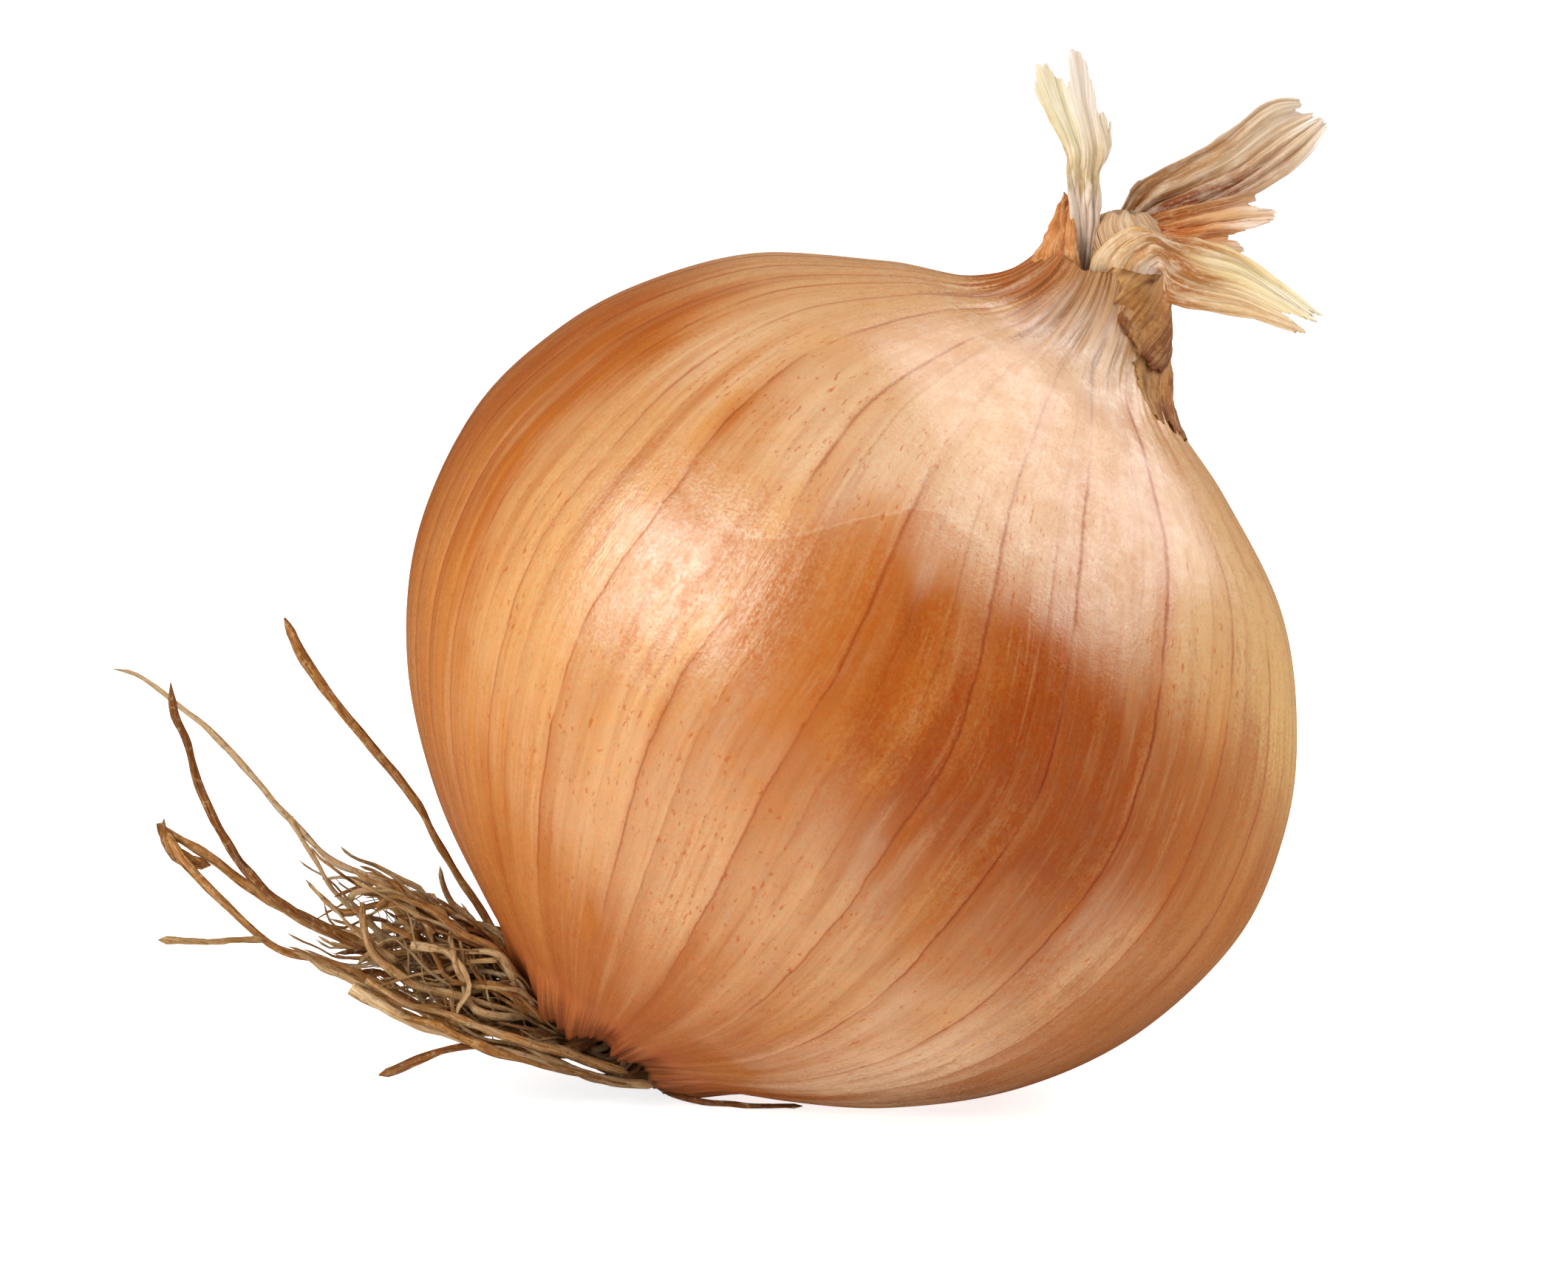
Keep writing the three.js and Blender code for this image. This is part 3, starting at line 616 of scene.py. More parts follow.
lobes = 0.9 + 1.7 * wrinkles(angle, level_line, 15, 1, 1.5)
teeth = 1.1 * np.abs(wrinkles(angle, level_line, 64, 1, 2.5))
torn = np.maximum(0, lobes + teeth)
points[:, 2] -= np.where(station >= first_skin, ease(height, -36.2, -38.7) * torn, 0)

for k, (radius, level) in enumerate(HOLLOW):
    here = station == k
    around = radius * np.stack([np.sin(angle[here]), -np.cos(angle[here])], -1)
    down = torn[here] if k >= TORN_FROM else 0
    points[here] = np.column_stack([around, np.full(here.sum(), level) - down])

edge_relief = skin_relief(angle, edge_height, edge_height)
for k, (inward, down) in enumerate(LIP):
    here = station == last_skin + 1 + k
    points[here] = on_skin(angle[here], edge_height[here] + down, edge_relief[here] + inward)
bottom_of_gap = edge_height.mean() + LIP[-1][1]
points[station == STATIONS - 1] = (float(neck_bend(bottom_of_gap)), 0, bottom_of_gap)

points = to_part(points)
points[:, 2] = np.maximum(points[:, 2], 0)
for vertex, point in zip(bulb.verts, points):
    vertex.co = point
print("lowest", points[:, 2].min().round(2), "mm, flat spot of", int((points[:, 2] == 0).sum()), "points")

# %% [markdown]
# The skin's pattern follows the veins and not straight lines, so each point keeps where it is
# among them. `grain` is a place on a cylinder, which has no seam: noise on it that is fine across
# and long along gives fibres. The UV map holds the vein count and the height, for the thin lines.

# %% Coordinates for the skin's pattern
MAP_HEIGHT = 100.0
phase, spacing = vein_phase(angle, height)
grain = bulb.verts.layers.float_vector.new("grain")
rim = bulb.verts.layers.float_vector.new("edges")
crease = bulb.verts.layers.float.new("crease")
turn = phase * FULL_TURN / VEINS
near_collar = ease(edge_height - height, 9, 0)
near_roots = ease(height, -31, -38.7)
hidden = ((station < first_skin) | (station > last_skin)).astype(float)
valley = neck_creases(angle, height)
for k, vertex in enumerate(bulb.verts):
    vertex[grain] = (math.cos(turn[k]), math.sin(turn[k]), height[k] / BULB_RADIUS)
    vertex[rim] = (near_collar[k], near_roots[k], hidden[k])
    vertex[crease] = valley[k]

layout = bulb.loops.layers.uv.new("UVMap")
for face in bulb.faces:
    counts = [phase[loop.vert.index] for loop in face.loops]
    wraps = max(counts) - min(counts) > VEINS / 2
    for loop, count in zip(face.loops, counts):
        count += VEINS if wraps and count < VEINS / 2 else 0
        loop[layout].uv = (count / VEINS, (height[loop.vert.index] + BULB_RADIUS) / MAP_HEIGHT)
close_up(bulb)
print("bulb", len(bulb.faces), "faces")

# %% [markdown]
# ### The skin's finish
#
# Dry onion skin is a thin film of parallel fibres, golden to red-brown, over paler layers. From
# afar one sees broad areas of deeper and lighter colour. Nearer, there are thin dark veins, short
# orange dashes and a fine mottling that breaks up the gloss. Each of these is one layer below.

# %% Skin: where things are
skin = Finish("onion_skin", 0.4)
skin.grain = skin.attribute("grain")
neck_crease_shade = skin.attribute("crease", "Fac")
by_collar, by_roots, shade_inside = skin.split(skin.attribute("edges"))
map_across, map_up, _ = skin.split(skin.add("UVMap", uv_map="UVMap").outputs["UV"])
vein_count = skin.product(map_across, float(VEINS))
up_axis = skin.calc("MULTIPLY_ADD", map_up, MAP_HEIGHT, -BULB_RADIUS)
in_bulb = skin.add("Mapping", {
    "Vector": skin.add("TexCoord").outputs["Object"],
    "Location": CENTRE * MM, "Rotation": (0, LEAN, 0), "Scale": (MM, MM, MM),
}, vector_type="TEXTURE").outputs["Vector"]

coarse = skin.streaks(5.0, 1.3, 2.0)
bands = skin.streaks(9.0, 0.8, 2.0)
medium = skin.streaks(22.0, 2.0, 1.6)
fine = skin.streaks(95.0, 5.0, 1.7)
cells = skin.streaks(150.0, 50.0, 2.0)
cloud = skin.noise(in_bulb, 0.07, 3.0, 0.6)
clumps = skin.noise(in_bulb, 0.7, 3.0, 0.6)
patches = skin.noise(in_bulb, 0.3, 5.0, 0.7)
mottle = skin.fade(skin.noise(in_bulb, 3.0, 3.0, 0.6), 0.25, 0.75)
speckle = skin.blend(skin.fade(up_axis, 6.0, 22.0, 0.5, 0.9), cells, mottle)
variety = skin.total(skin.product(coarse, 0.55), skin.product(cloud, 0.45))
waver = skin.total(skin.swing(bands, 1.3), skin.swing(cloud, 1.4), skin.swing(speckle, 0.5))
print("skin coordinates ready")

# %% Skin: broad areas of colour
AREAS = [
    # angle and height of the middle, reach in mm, softness, strength, colour
    (-76, 14, (17, 17, 26), 0.6, 0.5, "A5500F"),
    (-62, -22, (16, 20, 20), 0.6, 0.35, "C2722E"),
    (-36, 3, (17, 18, 24), 0.6, 0.7, "DCA86C"),
    (-8, -18, (15, 16, 14), 0.5, 0.7, "DCA672"),
    (-7, 1, (7, 12, 15), 0.6, 0.45, "B5601C"),
    (6, 12, (16, 17, 11), 0.5, 0.7, "AA500E"),
    (24, 6, (15, 17, 17), 0.5, 0.95, "983A02"),
    (29, -3, (7, 12, 15), 0.5, 0.7, "963C04"),
    (52, -12, (20, 20, 13), 0.5, 0.75, "DAAC7E"),
    (30, -17, (14, 18, 8), 0.5, 0.5, "CC965E"),
    (14, -20, (26, 24, 12), 0.6, 0.5, "D8A676"),
    (62, 22, (16, 16, 15), 0.5, 0.85, "E2B870"),
    # the next three pale areas on the shoulder are partly the skin's paler colour near the neck and partly a
    # painted highlight where the right box's gloss falls
    (34, 22, (8, 9, 6), 0.9, 0.5, "E4B684"),
    (-30, 22.5, (14, 12, 6.5), 0.7, 0.75, "E4BF98"),
    (2, 21.5, (10, 10, 4), 0.8, 0.6, "E6C29E"),
    (45, 12, (10, 11, 10), 0.6, 0.65, "A64C0C"),
    (27, -8, (8, 11, 6), 0.5, 0.55, "AC5412"),
    (64, 8, (8, 9, 9), 0.6, 0.45, "A85212"),
    (66, -4, (13, 14, 15), 0.5, 0.4, "BE7430"),
    (-20, -33, (16, 16, 10), 0.6, 0.6, "BE6C34"),
    (56, -24, (15, 16, 9), 0.6, 0.85, "ECC6A0"),
    (72, -14, (14, 16, 12), 0.6, 0.8, "A45C20"),
    (150, 8, (26, 24, 24), 0.6, 0.6, "A84E16"),
    (-150, -8, (22, 24, 22), 0.6, 0.5, "C98742"),
    (110, -18, (20, 20, 16), 0.6, 0.5, "C07C42"),
    (-115, 18, (20, 20, 16), 0.6, 0.55, "A74F17"),
]


def skin_area(area_angle, area_height, reach, softness):
    """The mask of a soft area with its middle on the skin."""
    middle = on_skin(np.radians(area_angle), float(area_height))
    where = {"Place": in_bulb, "Middle": middle, "Reach": reach}
    return skin.use(soft_area, "Mask", Waver=waver, Softness=softness, **where)


skin.tone = skin.shades(variety, (0.2, "A64C0E"), (0.42, "B86620"), (0.6, "C98038"), (0.85, "D69A58"))
for *where, strength, hex_code in AREAS:
    skin.tint(hex_code, skin_area(*where), strength)
skin.tint("D2A472", skin.fade(skin.total(up_axis, skin.swing(variety, 16.0)), 14.0, 30.0), 0.75)

# One film of skin ends in an arc across the front: the tone is deeper below it.
x_here, y_here, _ = skin.split(in_bulb)
round_axis = skin.calc("DEGREES", skin.calc("ARCTAN2", x_here, skin.product(y_here, -1.0)))
arc = skin.total(skin.fade(round_axis, -28.0, -8.0, 9.0, 20.2), skin.swing(clumps, 1.6))
above_arc = skin.calc("SUBTRACT", up_axis, arc)
on_front = skin.product(skin.fade(round_axis, -42.0, -30.0), skin.fade(round_axis, 9.0, -7.0))
film_mask = skin.product(skin.fade(above_arc, 0.3, -0.5), skin.fade(above_arc, -9.0, -2.0), on_front)
skin.tint("B66C2A", film_mask, 0.42)
skin.tint("E6C196", skin.fade(skin.calc("ABSOLUTE", above_arc), 0.35, 0.0), on_front, 0.22)
print(len(AREAS), "areas of colour")

# %% Skin: fibres and dashes
calm = skin.fade(up_axis, 16.0, 27.0, 1.0, 0.4)
for pattern, start, end, strength, hex_code in (
    (medium, 0.48, 0.85, 0.4, "A5501A"), (medium, 0.45, 0.1, 0.2, "DCA668"),
    (fine, 0.45, 0.95, 0.32, "AC5E22"), (fine, 0.45, 0.05, 0.22, "E0B27A"),
):
    skin.tint(hex_code, skin.fade(pattern, start, end, 0.0, strength), calm)
grains = skin.calc("MULTIPLY_ADD", skin.fade(speckle, 0.15, 0.85, -0.1, 0.12), calm, 1.0)
grain_tint = skin.add("CombineColor", {"Red": 1.0, "Green": grains, "Blue": grains}).outputs["Color"]
skin.tint(grain_tint, 1.0, how="MULTIPLY")
dashes = skin.fade(skin.streaks(105.0, 48.0, 1.0), 0.61, 0.68)
skin.tint("B4541A", dashes, skin.fade(cloud, 0.35, 0.55), 0.7)
print("fibres and dashes drawn")

# %% Skin: veins
VEIN_DARKENING = (0.62, 0.37, 0.28, 1)
BETWEEN = 3.0  # fine lines for each vein
wander = skin.swing(skin.noise(in_bulb, 0.06), 0.16)
kinks = skin.swing(skin.noise(in_bulb, 0.35, 4.0, 0.6), 0.06)
wandering = skin.total(vein_count, wander, kinks)
for parts in (1.0, BETWEEN):
    # The film is deeper on one side of a vein, by an amount of its own for each panel.
    counted = skin.product(wandering, parts)
    own = skin.chance(skin.total(skin.calc("FLOOR", counted), 9.0 * parts))
    one_side = skin.fade(skin.calc("FRACT", counted), 0.0, 0.9, 1.0, 0.1)
    skin.tint("A5561C", own, one_side, skin.fade(up_axis, 30.0, 12.0), 0.34)

line_width = skin.fade(up_axis, 0.0, 38.0, 0.0125, 0.034)
unbroken = skin.fade(skin.noise(in_bulb, 0.09), 0.3, 0.52)
from_roots, to_neck = skin.fade(up_axis, -36.0, -22.0), skin.fade(up_axis, 40.0, 35.0, 0.25, 1.0)
along_veins = skin.product(from_roots, unbroken, to_neck)


def vein_lines(parts, widening, seed, fading):
    """Thin lines along the veins, or between them if there are several parts to a panel."""
    phase, half_width = skin.product(wandering, parts), skin.product(line_width, widening)
    line = skin.use(thin_lines, "Line", Phase=phase, Half_Width=half_width, Seed=seed, Fading=fading)
    return skin.product(line, along_veins)


main_veins = vein_lines(1.0, 1.0, 3.0, 0.55)
skin.tint("B4562A", vein_lines(1.0, 5.0, 3.0, 0.55), 0.24)
skin.tint(VEIN_DARKENING, main_veins, how="MULTIPLY")
skin.tint(VEIN_DARKENING, vein_lines(BETWEEN, 2.0, 40.0, 1.0), 0.38, how="MULTIPLY")
print("veins drawn")

# %% Skin: the dried neck
collar_fibres = skin.streaks(55.0, 6.0, 2.2)
collar_bands = skin.streaks(18.0, 1.5, 2.4)
collar_mix = skin.calc("MULTIPLY_ADD", collar_bands, 0.45, skin.product(collar_fibres, 0.55))
collar_mask = skin.fade(skin.total(by_collar, skin.swing(collar_bands, 0.6)), 0.15, 0.75)
left_fold = skin_area(-60, 40.0, (8, 8, 5.5), 0.35)
right_fold = skin_area(14, 42.0, (6.5, 7, 7.5), 0.5)
front_fold = skin_area(-8, 36.2, (7, 7, 4.5), 0.6)
collar_tone = skin.shades(collar_mix, (0.24, "8E4C1A"), (0.42, "B07238"), (0.58, "C28E56"), (0.8, "D4B080"))
left_tone = skin.shades(collar_mix, (0.25, "7C340A"), (0.45, "A0521C"), (0.65, "B66C34"), (0.85, "CC945C"))
right_tone = skin.shades(collar_mix, (0.25, "8C5220"), (0.45, "AE7A44"), (0.65, "BC8C58"), (0.85, "D0A878"))
skin.tint(collar_tone, collar_mask, 0.85)
skin.tint("E8CDA6", skin.fade(clumps, 0.5, 0.66), skin.fade(up_axis, 30.0, 36.0, 0.0, 0.4))
skin.tint("AA5C28", skin.fade(collar_bands, 0.58, 0.8), skin.fade(up_axis, 37.0, 40.5, 0.0, 0.7))
skin.tint(left_tone, left_fold)
skin.tint(right_tone, right_fold, 0.85)
skin.tint("EFD6BE", front_fold, 0.3)
# painted shade: the neck's creases are darkened, more so in the fold on the left
skin.tint("7C451C", neck_crease_shade, skin.calc("MULTIPLY_ADD", left_fold, 0.35, 0.42))
print("dried neck done")

# %% Skin: the torn edge at the roots
root_mask = skin.fade(skin.total(by_roots, skin.swing(medium, 0.5)), 0.15, 0.95)
skin.tint("B0562B", root_mask, 0.5)
skin.tint("6E3217", skin.fade(skin.total(by_roots, skin.swing(fine, 0.3)), 0.82, 1.05), 0.75)
# painted shade: the skin that turns inwards, into the gap at the neck and the hollow under the roots, is
# darkened
skin.tint("4A2A16", shade_inside, 0.6)
skin.set("Base Color", skin.tone)
print("torn edge done")

# %% [markdown]
# The gloss is uneven. Deep-coloured film throws back an orange light and pale film a white one,
# so the specular tint follows the colour below it. The shine is weaker where the skin turns away.

# %% Skin: gloss and surface
AMBER_SHINE, WHITE_SHINE = (1.0, 0.7, 0.42, 1), (1, 0.98, 0.95, 1)
FIBRE_HEIGHT, MOTTLE_HEIGHT, CLUMP_HEIGHT, VEIN_HEIGHT, COLLAR_HEIGHT = 0.016, 0.014, 0.035, -0.01, 0.07
skin.set("IOR", 1.58)
green = skin.add("SeparateColor", {"Color": skin.tone}).outputs["Green"]
skin.set("Specular Tint", skin.blend(skin.fade(green, 0.07, 0.26), AMBER_SHINE, WHITE_SHINE))
dry_ends = skin.product(skin.calc("MAXIMUM", collar_mask, root_mask), 0.28)
gloss = skin.calc("MULTIPLY_ADD", speckle, 0.14, 0.16)
skin.set("Roughness", skin.total(gloss, skin.fade(clumps, 0.3, 0.7, 0.12, 0.0), dry_ends))
turned_away = skin.add("LayerWeight", {"Blend": 0.5}).outputs["Facing"]
skin.set("Specular IOR Level", skin.product(
    skin.fade(speckle, 0.2, 0.8, 0.55, 1.0),
    skin.fade(turned_away, 0.55, 0.92, 1.0, 0.25),
    skin.fade(patches, 0.4, 0.56, 0.66, 1.08),
))
skin.raise_by(
    (skin.product(fine, calm), FIBRE_HEIGHT), (skin.product(speckle, calm), MOTTLE_HEIGHT),
    (clumps, CLUMP_HEIGHT), (main_veins, VEIN_HEIGHT),
    (skin.product(collar_mask, collar_fibres), COLLAR_HEIGHT),
)
finish_piece("bulb_skin", bulb, skin, "skin", "bulb")

# %% [markdown]
# ## Dry leaves
#
# A dry leaf is a thin sheet between two edges, ribbed along its length and torn at its end. A
# grid is laid through guide lines: across it goes from one edge to the other, along it goes from
# the foot to the tip. Each strip ends where it was torn off. The wall's thickness comes last.


# %% Surfaces through guide lines
def edge_line(points):
    """A function that gives the place at a share of the way along a smooth line."""
    line = curve_through(points, 40)
    steps = np.linspace(0, 1, len(line))
    return lambda u: np.stack([np.interp(u, steps, line[:, axis]) for axis in range(line.shape[1])], -1)


def through(*guides):
    """A surface through lines from the foot to the tip, evenly placed from v = 0 to v = 1."""
    lines = [edge_line(points) for points in guides]
    places = np.linspace(0, 1, len(lines))

    def surface(u, v):
        total = 0
        for k, line in enumerate(lines):
            weight = np.prod([(v - other) / (places[k] - other) for other in np.delete(places, k)], axis=0)
            total = total + line(u) * weight[..., None]
        return total

    return surface


def near_centre(*guides):
    """The guides are given from the bulb's middle, along the part's own axes."""
    return through(*[np.array(points) + np.array(CENTRE) for points in guides])


def lying_on_skin(*guides):
    """The guides are given as angle in degrees, height along the axis and lift from the skin."""
    flat = through(*guides)

    def surface(u, v):
        degrees, level, lift = np.moveaxis(flat(u, v), -1, 0)
        return to_part(on_skin(np.radians(degrees), level, lift))

    return surface


print("surface tools ready")

# %% A torn, creased sheet
SHEET_THICKNESS = 0.16
SLITS, SLIT_WIDTH, SIDE_WAVER = 10, 0.6, 0.035
NEAR = 0.02  # how far apart the places are that give a sheet its direction


def rough(*coordinates):
    """Noise at each of a list of places."""
    rows = np.stack(np.broadcast_arrays(*coordinates), -1)
    return np.array([noise.noise(Vector(row)) for row in rows])


def torn_length(v, tips, torn, strips, seed):
    """How much of each strip is left: the tips are lengths across the end, from side to side."""
    draw = random.Random(seed)
    tear = torn * (rough(v * 14, seed, 0.0) + 0.6 * rough(v * 45, seed, 4.0))
    for at, depth in [(draw.random(), draw.uniform(0.3, 1.0)) for _ in range(SLITS)]:
        tear = tear - torn * depth * (np.abs(v - at) < SLIT_WIDTH / strips)
    return np.interp(v * (len(tips) - 1), range(len(tips)), tips) + tear


def make_leaf(name, node, slot, finish, surface, tips, rows=110, strips=80, fold=0.3, folds=2.2, rib=0.06,
              ribs=13, arch=0.0, crumple=0.4, torn=0.04, seed=1, slant=0.0):
    """A sheet in the part's frame. Its folds, ribs, arch and crumple are heights in millimetres."""
    sheet = bmesh.new()
    grain = sheet.verts.layers.float_vector.new("grain")
    crease = sheet.verts.layers.float.new("crease")
    grid = bmesh.ops.create_grid(sheet, x_segments=strips, y_segments=rows, size=0.5)["verts"]
    v, share = np.array([vertex.co for vertex in grid])[:, :2].T + 0.5
    u = np.clip(share * torn_length(v, tips, torn, strips, seed), 0, 1)
    side = ease(np.abs(v - 0.5), 0.47, 0.5) * np.sign(v - 0.5)
    across = v + side * SIDE_WAVER * rough(u * 14, seed * 3.1, side)
    along_it = surface(np.minimum(1, u + NEAR), across) - surface(np.maximum(0, u - NEAR), across)
    across_it = surface(u, np.minimum(1, across + NEAR)) - surface(u, np.maximum(0, across - NEAR))
    out = np.cross(across_it, along_it)
    out /= np.linalg.norm(out, axis=1)[:, None]

    aside = v + slant * u
    sharp = np.abs(rough(aside * folds * 2 + 0.8 * u, u * 1.1, seed * 7.3)) * 2
    lines = rough(aside * ribs * 2, u * 4.5, seed * 5.1)
    crumples = rough(v * 3, u * 5, seed * 2.9) + 0.4 * rough(v * 9, u * 14, seed * 1.7)
    from_foot = np.minimum(1, 5 * u)
    lift = arch * 4 * v * (1 - v) + from_foot * (fold * (sharp - 0.4) + rib * lines + crumple * crumples)
    depth = np.clip(ease(sharp, 0.25, 0.0) * 0.7 + ease(lines, -0.1, -0.45) * 0.5, 0, 1)
    for k, (vertex, point) in enumerate(zip(grid, surface(u, across) + out * lift[:, None])):
        vertex.co = point
        vertex[grain] = (aside[k], seed * 0.37, u[k])
        vertex[crease] = depth[k]
    finish_piece(name, sheet, finish, slot, node, thickness=SHEET_THICKNESS)


print("sheets will be", SHEET_THICKNESS, "mm thick")

# %% [markdown]
# ### Finish of the dry leaves
#
# The leaves differ in colour, from cream and straw to brown, so one function makes the finish and
# each leaf gives its own colours from foot to tip. The parallel streaks are the same fibres as on
# the skin, and the creases of the folds get a painted shade.


# %% Dry leaf finish
def dry_leaf(name, light, dark, stops, *sides, shade_in_creases=0.42):
    """The stops are colours from the foot to the tip. Each side is a colour that comes in between
    two shares of the width, from one share of the length to another."""
    leaf = Finish(name, 0.65)
    leaf.grain = leaf.attribute("grain")
    across, _, along = leaf.split(leaf.grain)
    narrow, hair = leaf.streaks(26.0, 1.6, 2.6), leaf.streaks(90.0, 3.0, 2.4)
    blotch, flecks = leaf.noise(leaf.grain, 7.0, 4.0, 0.65), leaf.noise(leaf.grain, 30.0, 3.0, 0.6)
    shifted = leaf.total(along, leaf.swing(leaf.streaks(5.0, 1.6, 2.4), 0.3))
    leaf.tone = leaf.shades(shifted, *stops)
    for start, end, from_length, to_length, hex_code, strength in sides:
        on_side, on_length = leaf.fade(across, start, end), leaf.fade(shifted, from_length, to_length)
        leaf.tint(hex_code, on_side, on_length, strength)
    for pattern, start, end, strength, hex_code in (
        (narrow, 0.5, 0.95, 0.4, light), (narrow, 0.42, 0.1, 0.34, dark), (blotch, 0.45, 0.68, 0.5, light),
        (blotch, 0.42, 0.25, 0.3, dark), (flecks, 0.52, 0.72, 0.4, light), (hair, 0.45, 0.1, 0.2, dark),
    ):
        leaf.tint(hex_code, leaf.fade(pattern, start, end), strength)
    # painted shade: the creases of the folds and ribs are darkened
    leaf.tint(dark, leaf.attribute("crease", "Fac"), shade_in_creases)
    leaf.set("Base Color", leaf.tone)
    leaf.set("Specular IOR Level", 0.25)
    leaf.raise_by((narrow, 0.045), (hair, 0.02), (flecks, 0.05))
    return leaf


straw = dry_leaf(
    "straw_leaf", "FAEEE0", "B08450",
    [(0.0, "A87E5A"), (0.12, "DCC2AA"), (0.36, "E8D4C2"), (0.42, "C0A468"), (0.6, "D8BE90"), (0.8, "F0DEC2"),
     (1.0, "FBEEE0")],
    (0.42, 0.3, 0.55, 0.7, "DCCE8C", 0.6),
)
grey_tan = dry_leaf(
    "grey_tan_leaf", "E8D4B8", "8C5220",
    [(0.0, "96592A"), (0.3, "AC7440"), (0.6, "C2966A"), (0.85, "D9BE9C"), (1.0, "F8F0E8")],
    (0.35, 0.62, 0.9, 0.45, "7C3404", 1.0), (0.5, 0.0, 0.75, 0.4, "B8824C", 0.4),
)
orange_brown = dry_leaf(
    "orange_brown_leaf", "DDB07A", "7C3408",
    [(0.0, "883206"), (0.3, "AC4E0E"), (0.5, "BC6A2A"), (0.75, "D8A678"), (1.0, "F6E6D4")],
    (0.3, 0.0, -0.2, 0.1, "8C480E", 0.6),
)
cream = dry_leaf(
    "cream_leaf", "F4E2C0", "9C6430",
    [(0.0, "C69C6C"), (0.25, "C4935A"), (0.44, "A4602A"), (0.56, "AE7038"), (0.7, "DCC08A"), (0.85, "E8D6A4"),
     (1.0, "F6EACE")],
    (0.5, 0.9, 0.55, 0.68, "D8AE84", 0.6), (0.45, 0.75, 0.32, 0.18, "F0DCCE", 0.85),
)
# the torn flaps get the strongest painted shade in their creases
torn_brown = dry_leaf(
    "torn_brown_skin", "D2A062", "602C08",
    [(0.0, "C89C66"), (0.3, "B07438"), (0.7, "90501C"), (1.0, "743810")],
    (0.4, 0.1, -0.2, 0.1, "C89860", 0.8), shade_in_creases=0.85,
)
rust = dry_leaf("rust_skin", "E8BC8A", "8C4A1C", [(0.0, "C88448"), (0.5, "CC8244"), (1.0, "B87038")])
print("leaf finishes ready")

# %% [markdown]
# ### The leaves, one by one
#
# Each leaf has two, three or four guide lines from its foot to its tip: its edges, and what lies
# between them. The list after them gives how far the strips reach before they are torn.

# %% Leaves that stand up
make_leaf(
    "left_leaf", "leaf_left", "pale_leaf", straw,
    near_centre(
        [(20.2, -1.7, 36.6), (19.8, -1.8, 40.3), (19.4, -2.2, 43.6), (19.1, -2.5, 46), (18.9, -2.8, 48.3),
         (17, -3.4, 52), (15, -3.6, 56.6)],
        [(20.6, -1.9, 36.6), (21, -1.9, 40.3), (21, -2.1, 43.6), (20.9, -2.2, 46), (21, -2.2, 48.6),
         (20, -2.2, 52.8), (19.2, -2, 57.4)],
        [(20.9, -1.5, 36.7), (21.9, -1.2, 41.2), (22.1, -1.2, 43.8), (22.1, -1, 46), (22.9, -0.8, 48.3),
         (22.9, -0.6, 52.4), (22.7, 0, 57.4)],
    ),
    [0.9, 0.95, 0.96, 0.9, 0.88, 0.97, 1.0, 0.94, 0.8, 0.78, 0.77], seed=2, torn=0.025,
)
make_leaf(
    "back_leaf", "leaf_back", "brown_leaf", grey_tan,
    near_centre(
        [(23.2, 1.4, 39.4), (24, 1.4, 42.4), (25.9, 2, 45), (29.2, 3, 46.7), (33, 4.5, 48.6),
         (37.6, 6.5, 51.9), (41.6, 7, 52)],
        [(25.6, 0.4, 39), (26.3, 0.4, 40.6), (28.6, 0.6, 41.3), (32, 1.4, 42.2), (36.2, 3, 43.8),
         (40.4, 5, 46.3), (43.2, 6.4, 49.6)],
    ),
    [0.93, 0.94, 0.9, 0.955, 0.96, 1, 0.985, 1, 0.97], fold=0.45, folds=2.6, arch=-0.9, seed=4, torn=0.018,
)
make_leaf(
    "middle_leaf", "leaf_middle", "brown_leaf", orange_brown,
    near_centre(
        [(24, 0.2, 40.4), (26.2, 0.4, 41.6), (29, 0.8, 42.4), (33, 1.4, 43.4), (37, 2, 44.6)],
        [(24.4, -0.8, 39.4), (27.2, -1, 40.6), (30, -0.6, 41), (34, 0.2, 41.6), (38, 0.8, 41.8)],
        [(25.4, -1.6, 38), (27.6, -2, 38.8), (30, -1.9, 38.9), (32.6, -1.6, 38.6), (35.4, -1.2, 38.3)],
    ),
    [0.93, 0.9, 0.84, 0.98, 1.0, 0.9, 0.74, 0.86, 0.94], fold=0.4, seed=6, torn=0.045,
)

# %% The leaf that hangs over, and the torn point
make_leaf(
    "front_leaf", "leaf_front", "pale_leaf", cream,
    near_centre(
        [(21, -3.5, 36.9), (21.9, -3.8, 39.4), (24, -4.2, 41.1), (26, -4.4, 41.3), (28.4, -4.2, 40.7),
         (31.2, -4, 40.2), (34.7, -4.5, 39.1), (38.3, -5.5, 36.6), (41.8, -7, 33.6)],
        [(24.3, -3.9, 36.3), (25, -4.6, 38.2), (26.2, -5.2, 39.3), (27.3, -5.6, 39.6), (28.8, -5.3, 38.6),
         (31.2, -5.2, 37.4), (34.7, -5.4, 36.5), (37.8, -6.4, 34.9), (41.2, -7.6, 33)],
        [(27, -1.7, 36), (27.6, -2.6, 37.2), (27.9, -3.8, 37.4), (27.8, -4.6, 36.2), (27.8, -4.9, 34.8),
         (30.2, -4.9, 34.3), (34.6, -5.5, 33.6), (37.4, -6.5, 33), (40.2, -7.5, 32.1)],
    ),
    [1, 0.97, 0.98, 0.99, 0.96, 0.89, 0.95, 0.99, 0.96], rows=150, strips=96, folds=2.6, ribs=15, seed=8,
    torn=0.022,
)
make_leaf(
    "torn_point", "skin_point", "torn_skin", rust,
    near_centre(
        [(15.9, -1.6, 38.2), (17.6, -1.5, 41.2), (19, -1.1, 44.5)],
        [(18.4, -3, 37.4), (18.8, -2.6, 40.8), (19.4, -1.6, 44.4)],
        [(20.5, -3.4, 36.9), (20, -2.8, 40), (19.8, -1.6, 44.2)],
    ),
    [0.9, 0.96, 0.86, 1, 0.9], rows=50, strips=32, fold=0.35, folds=1.5, ribs=6, seed=10,
)

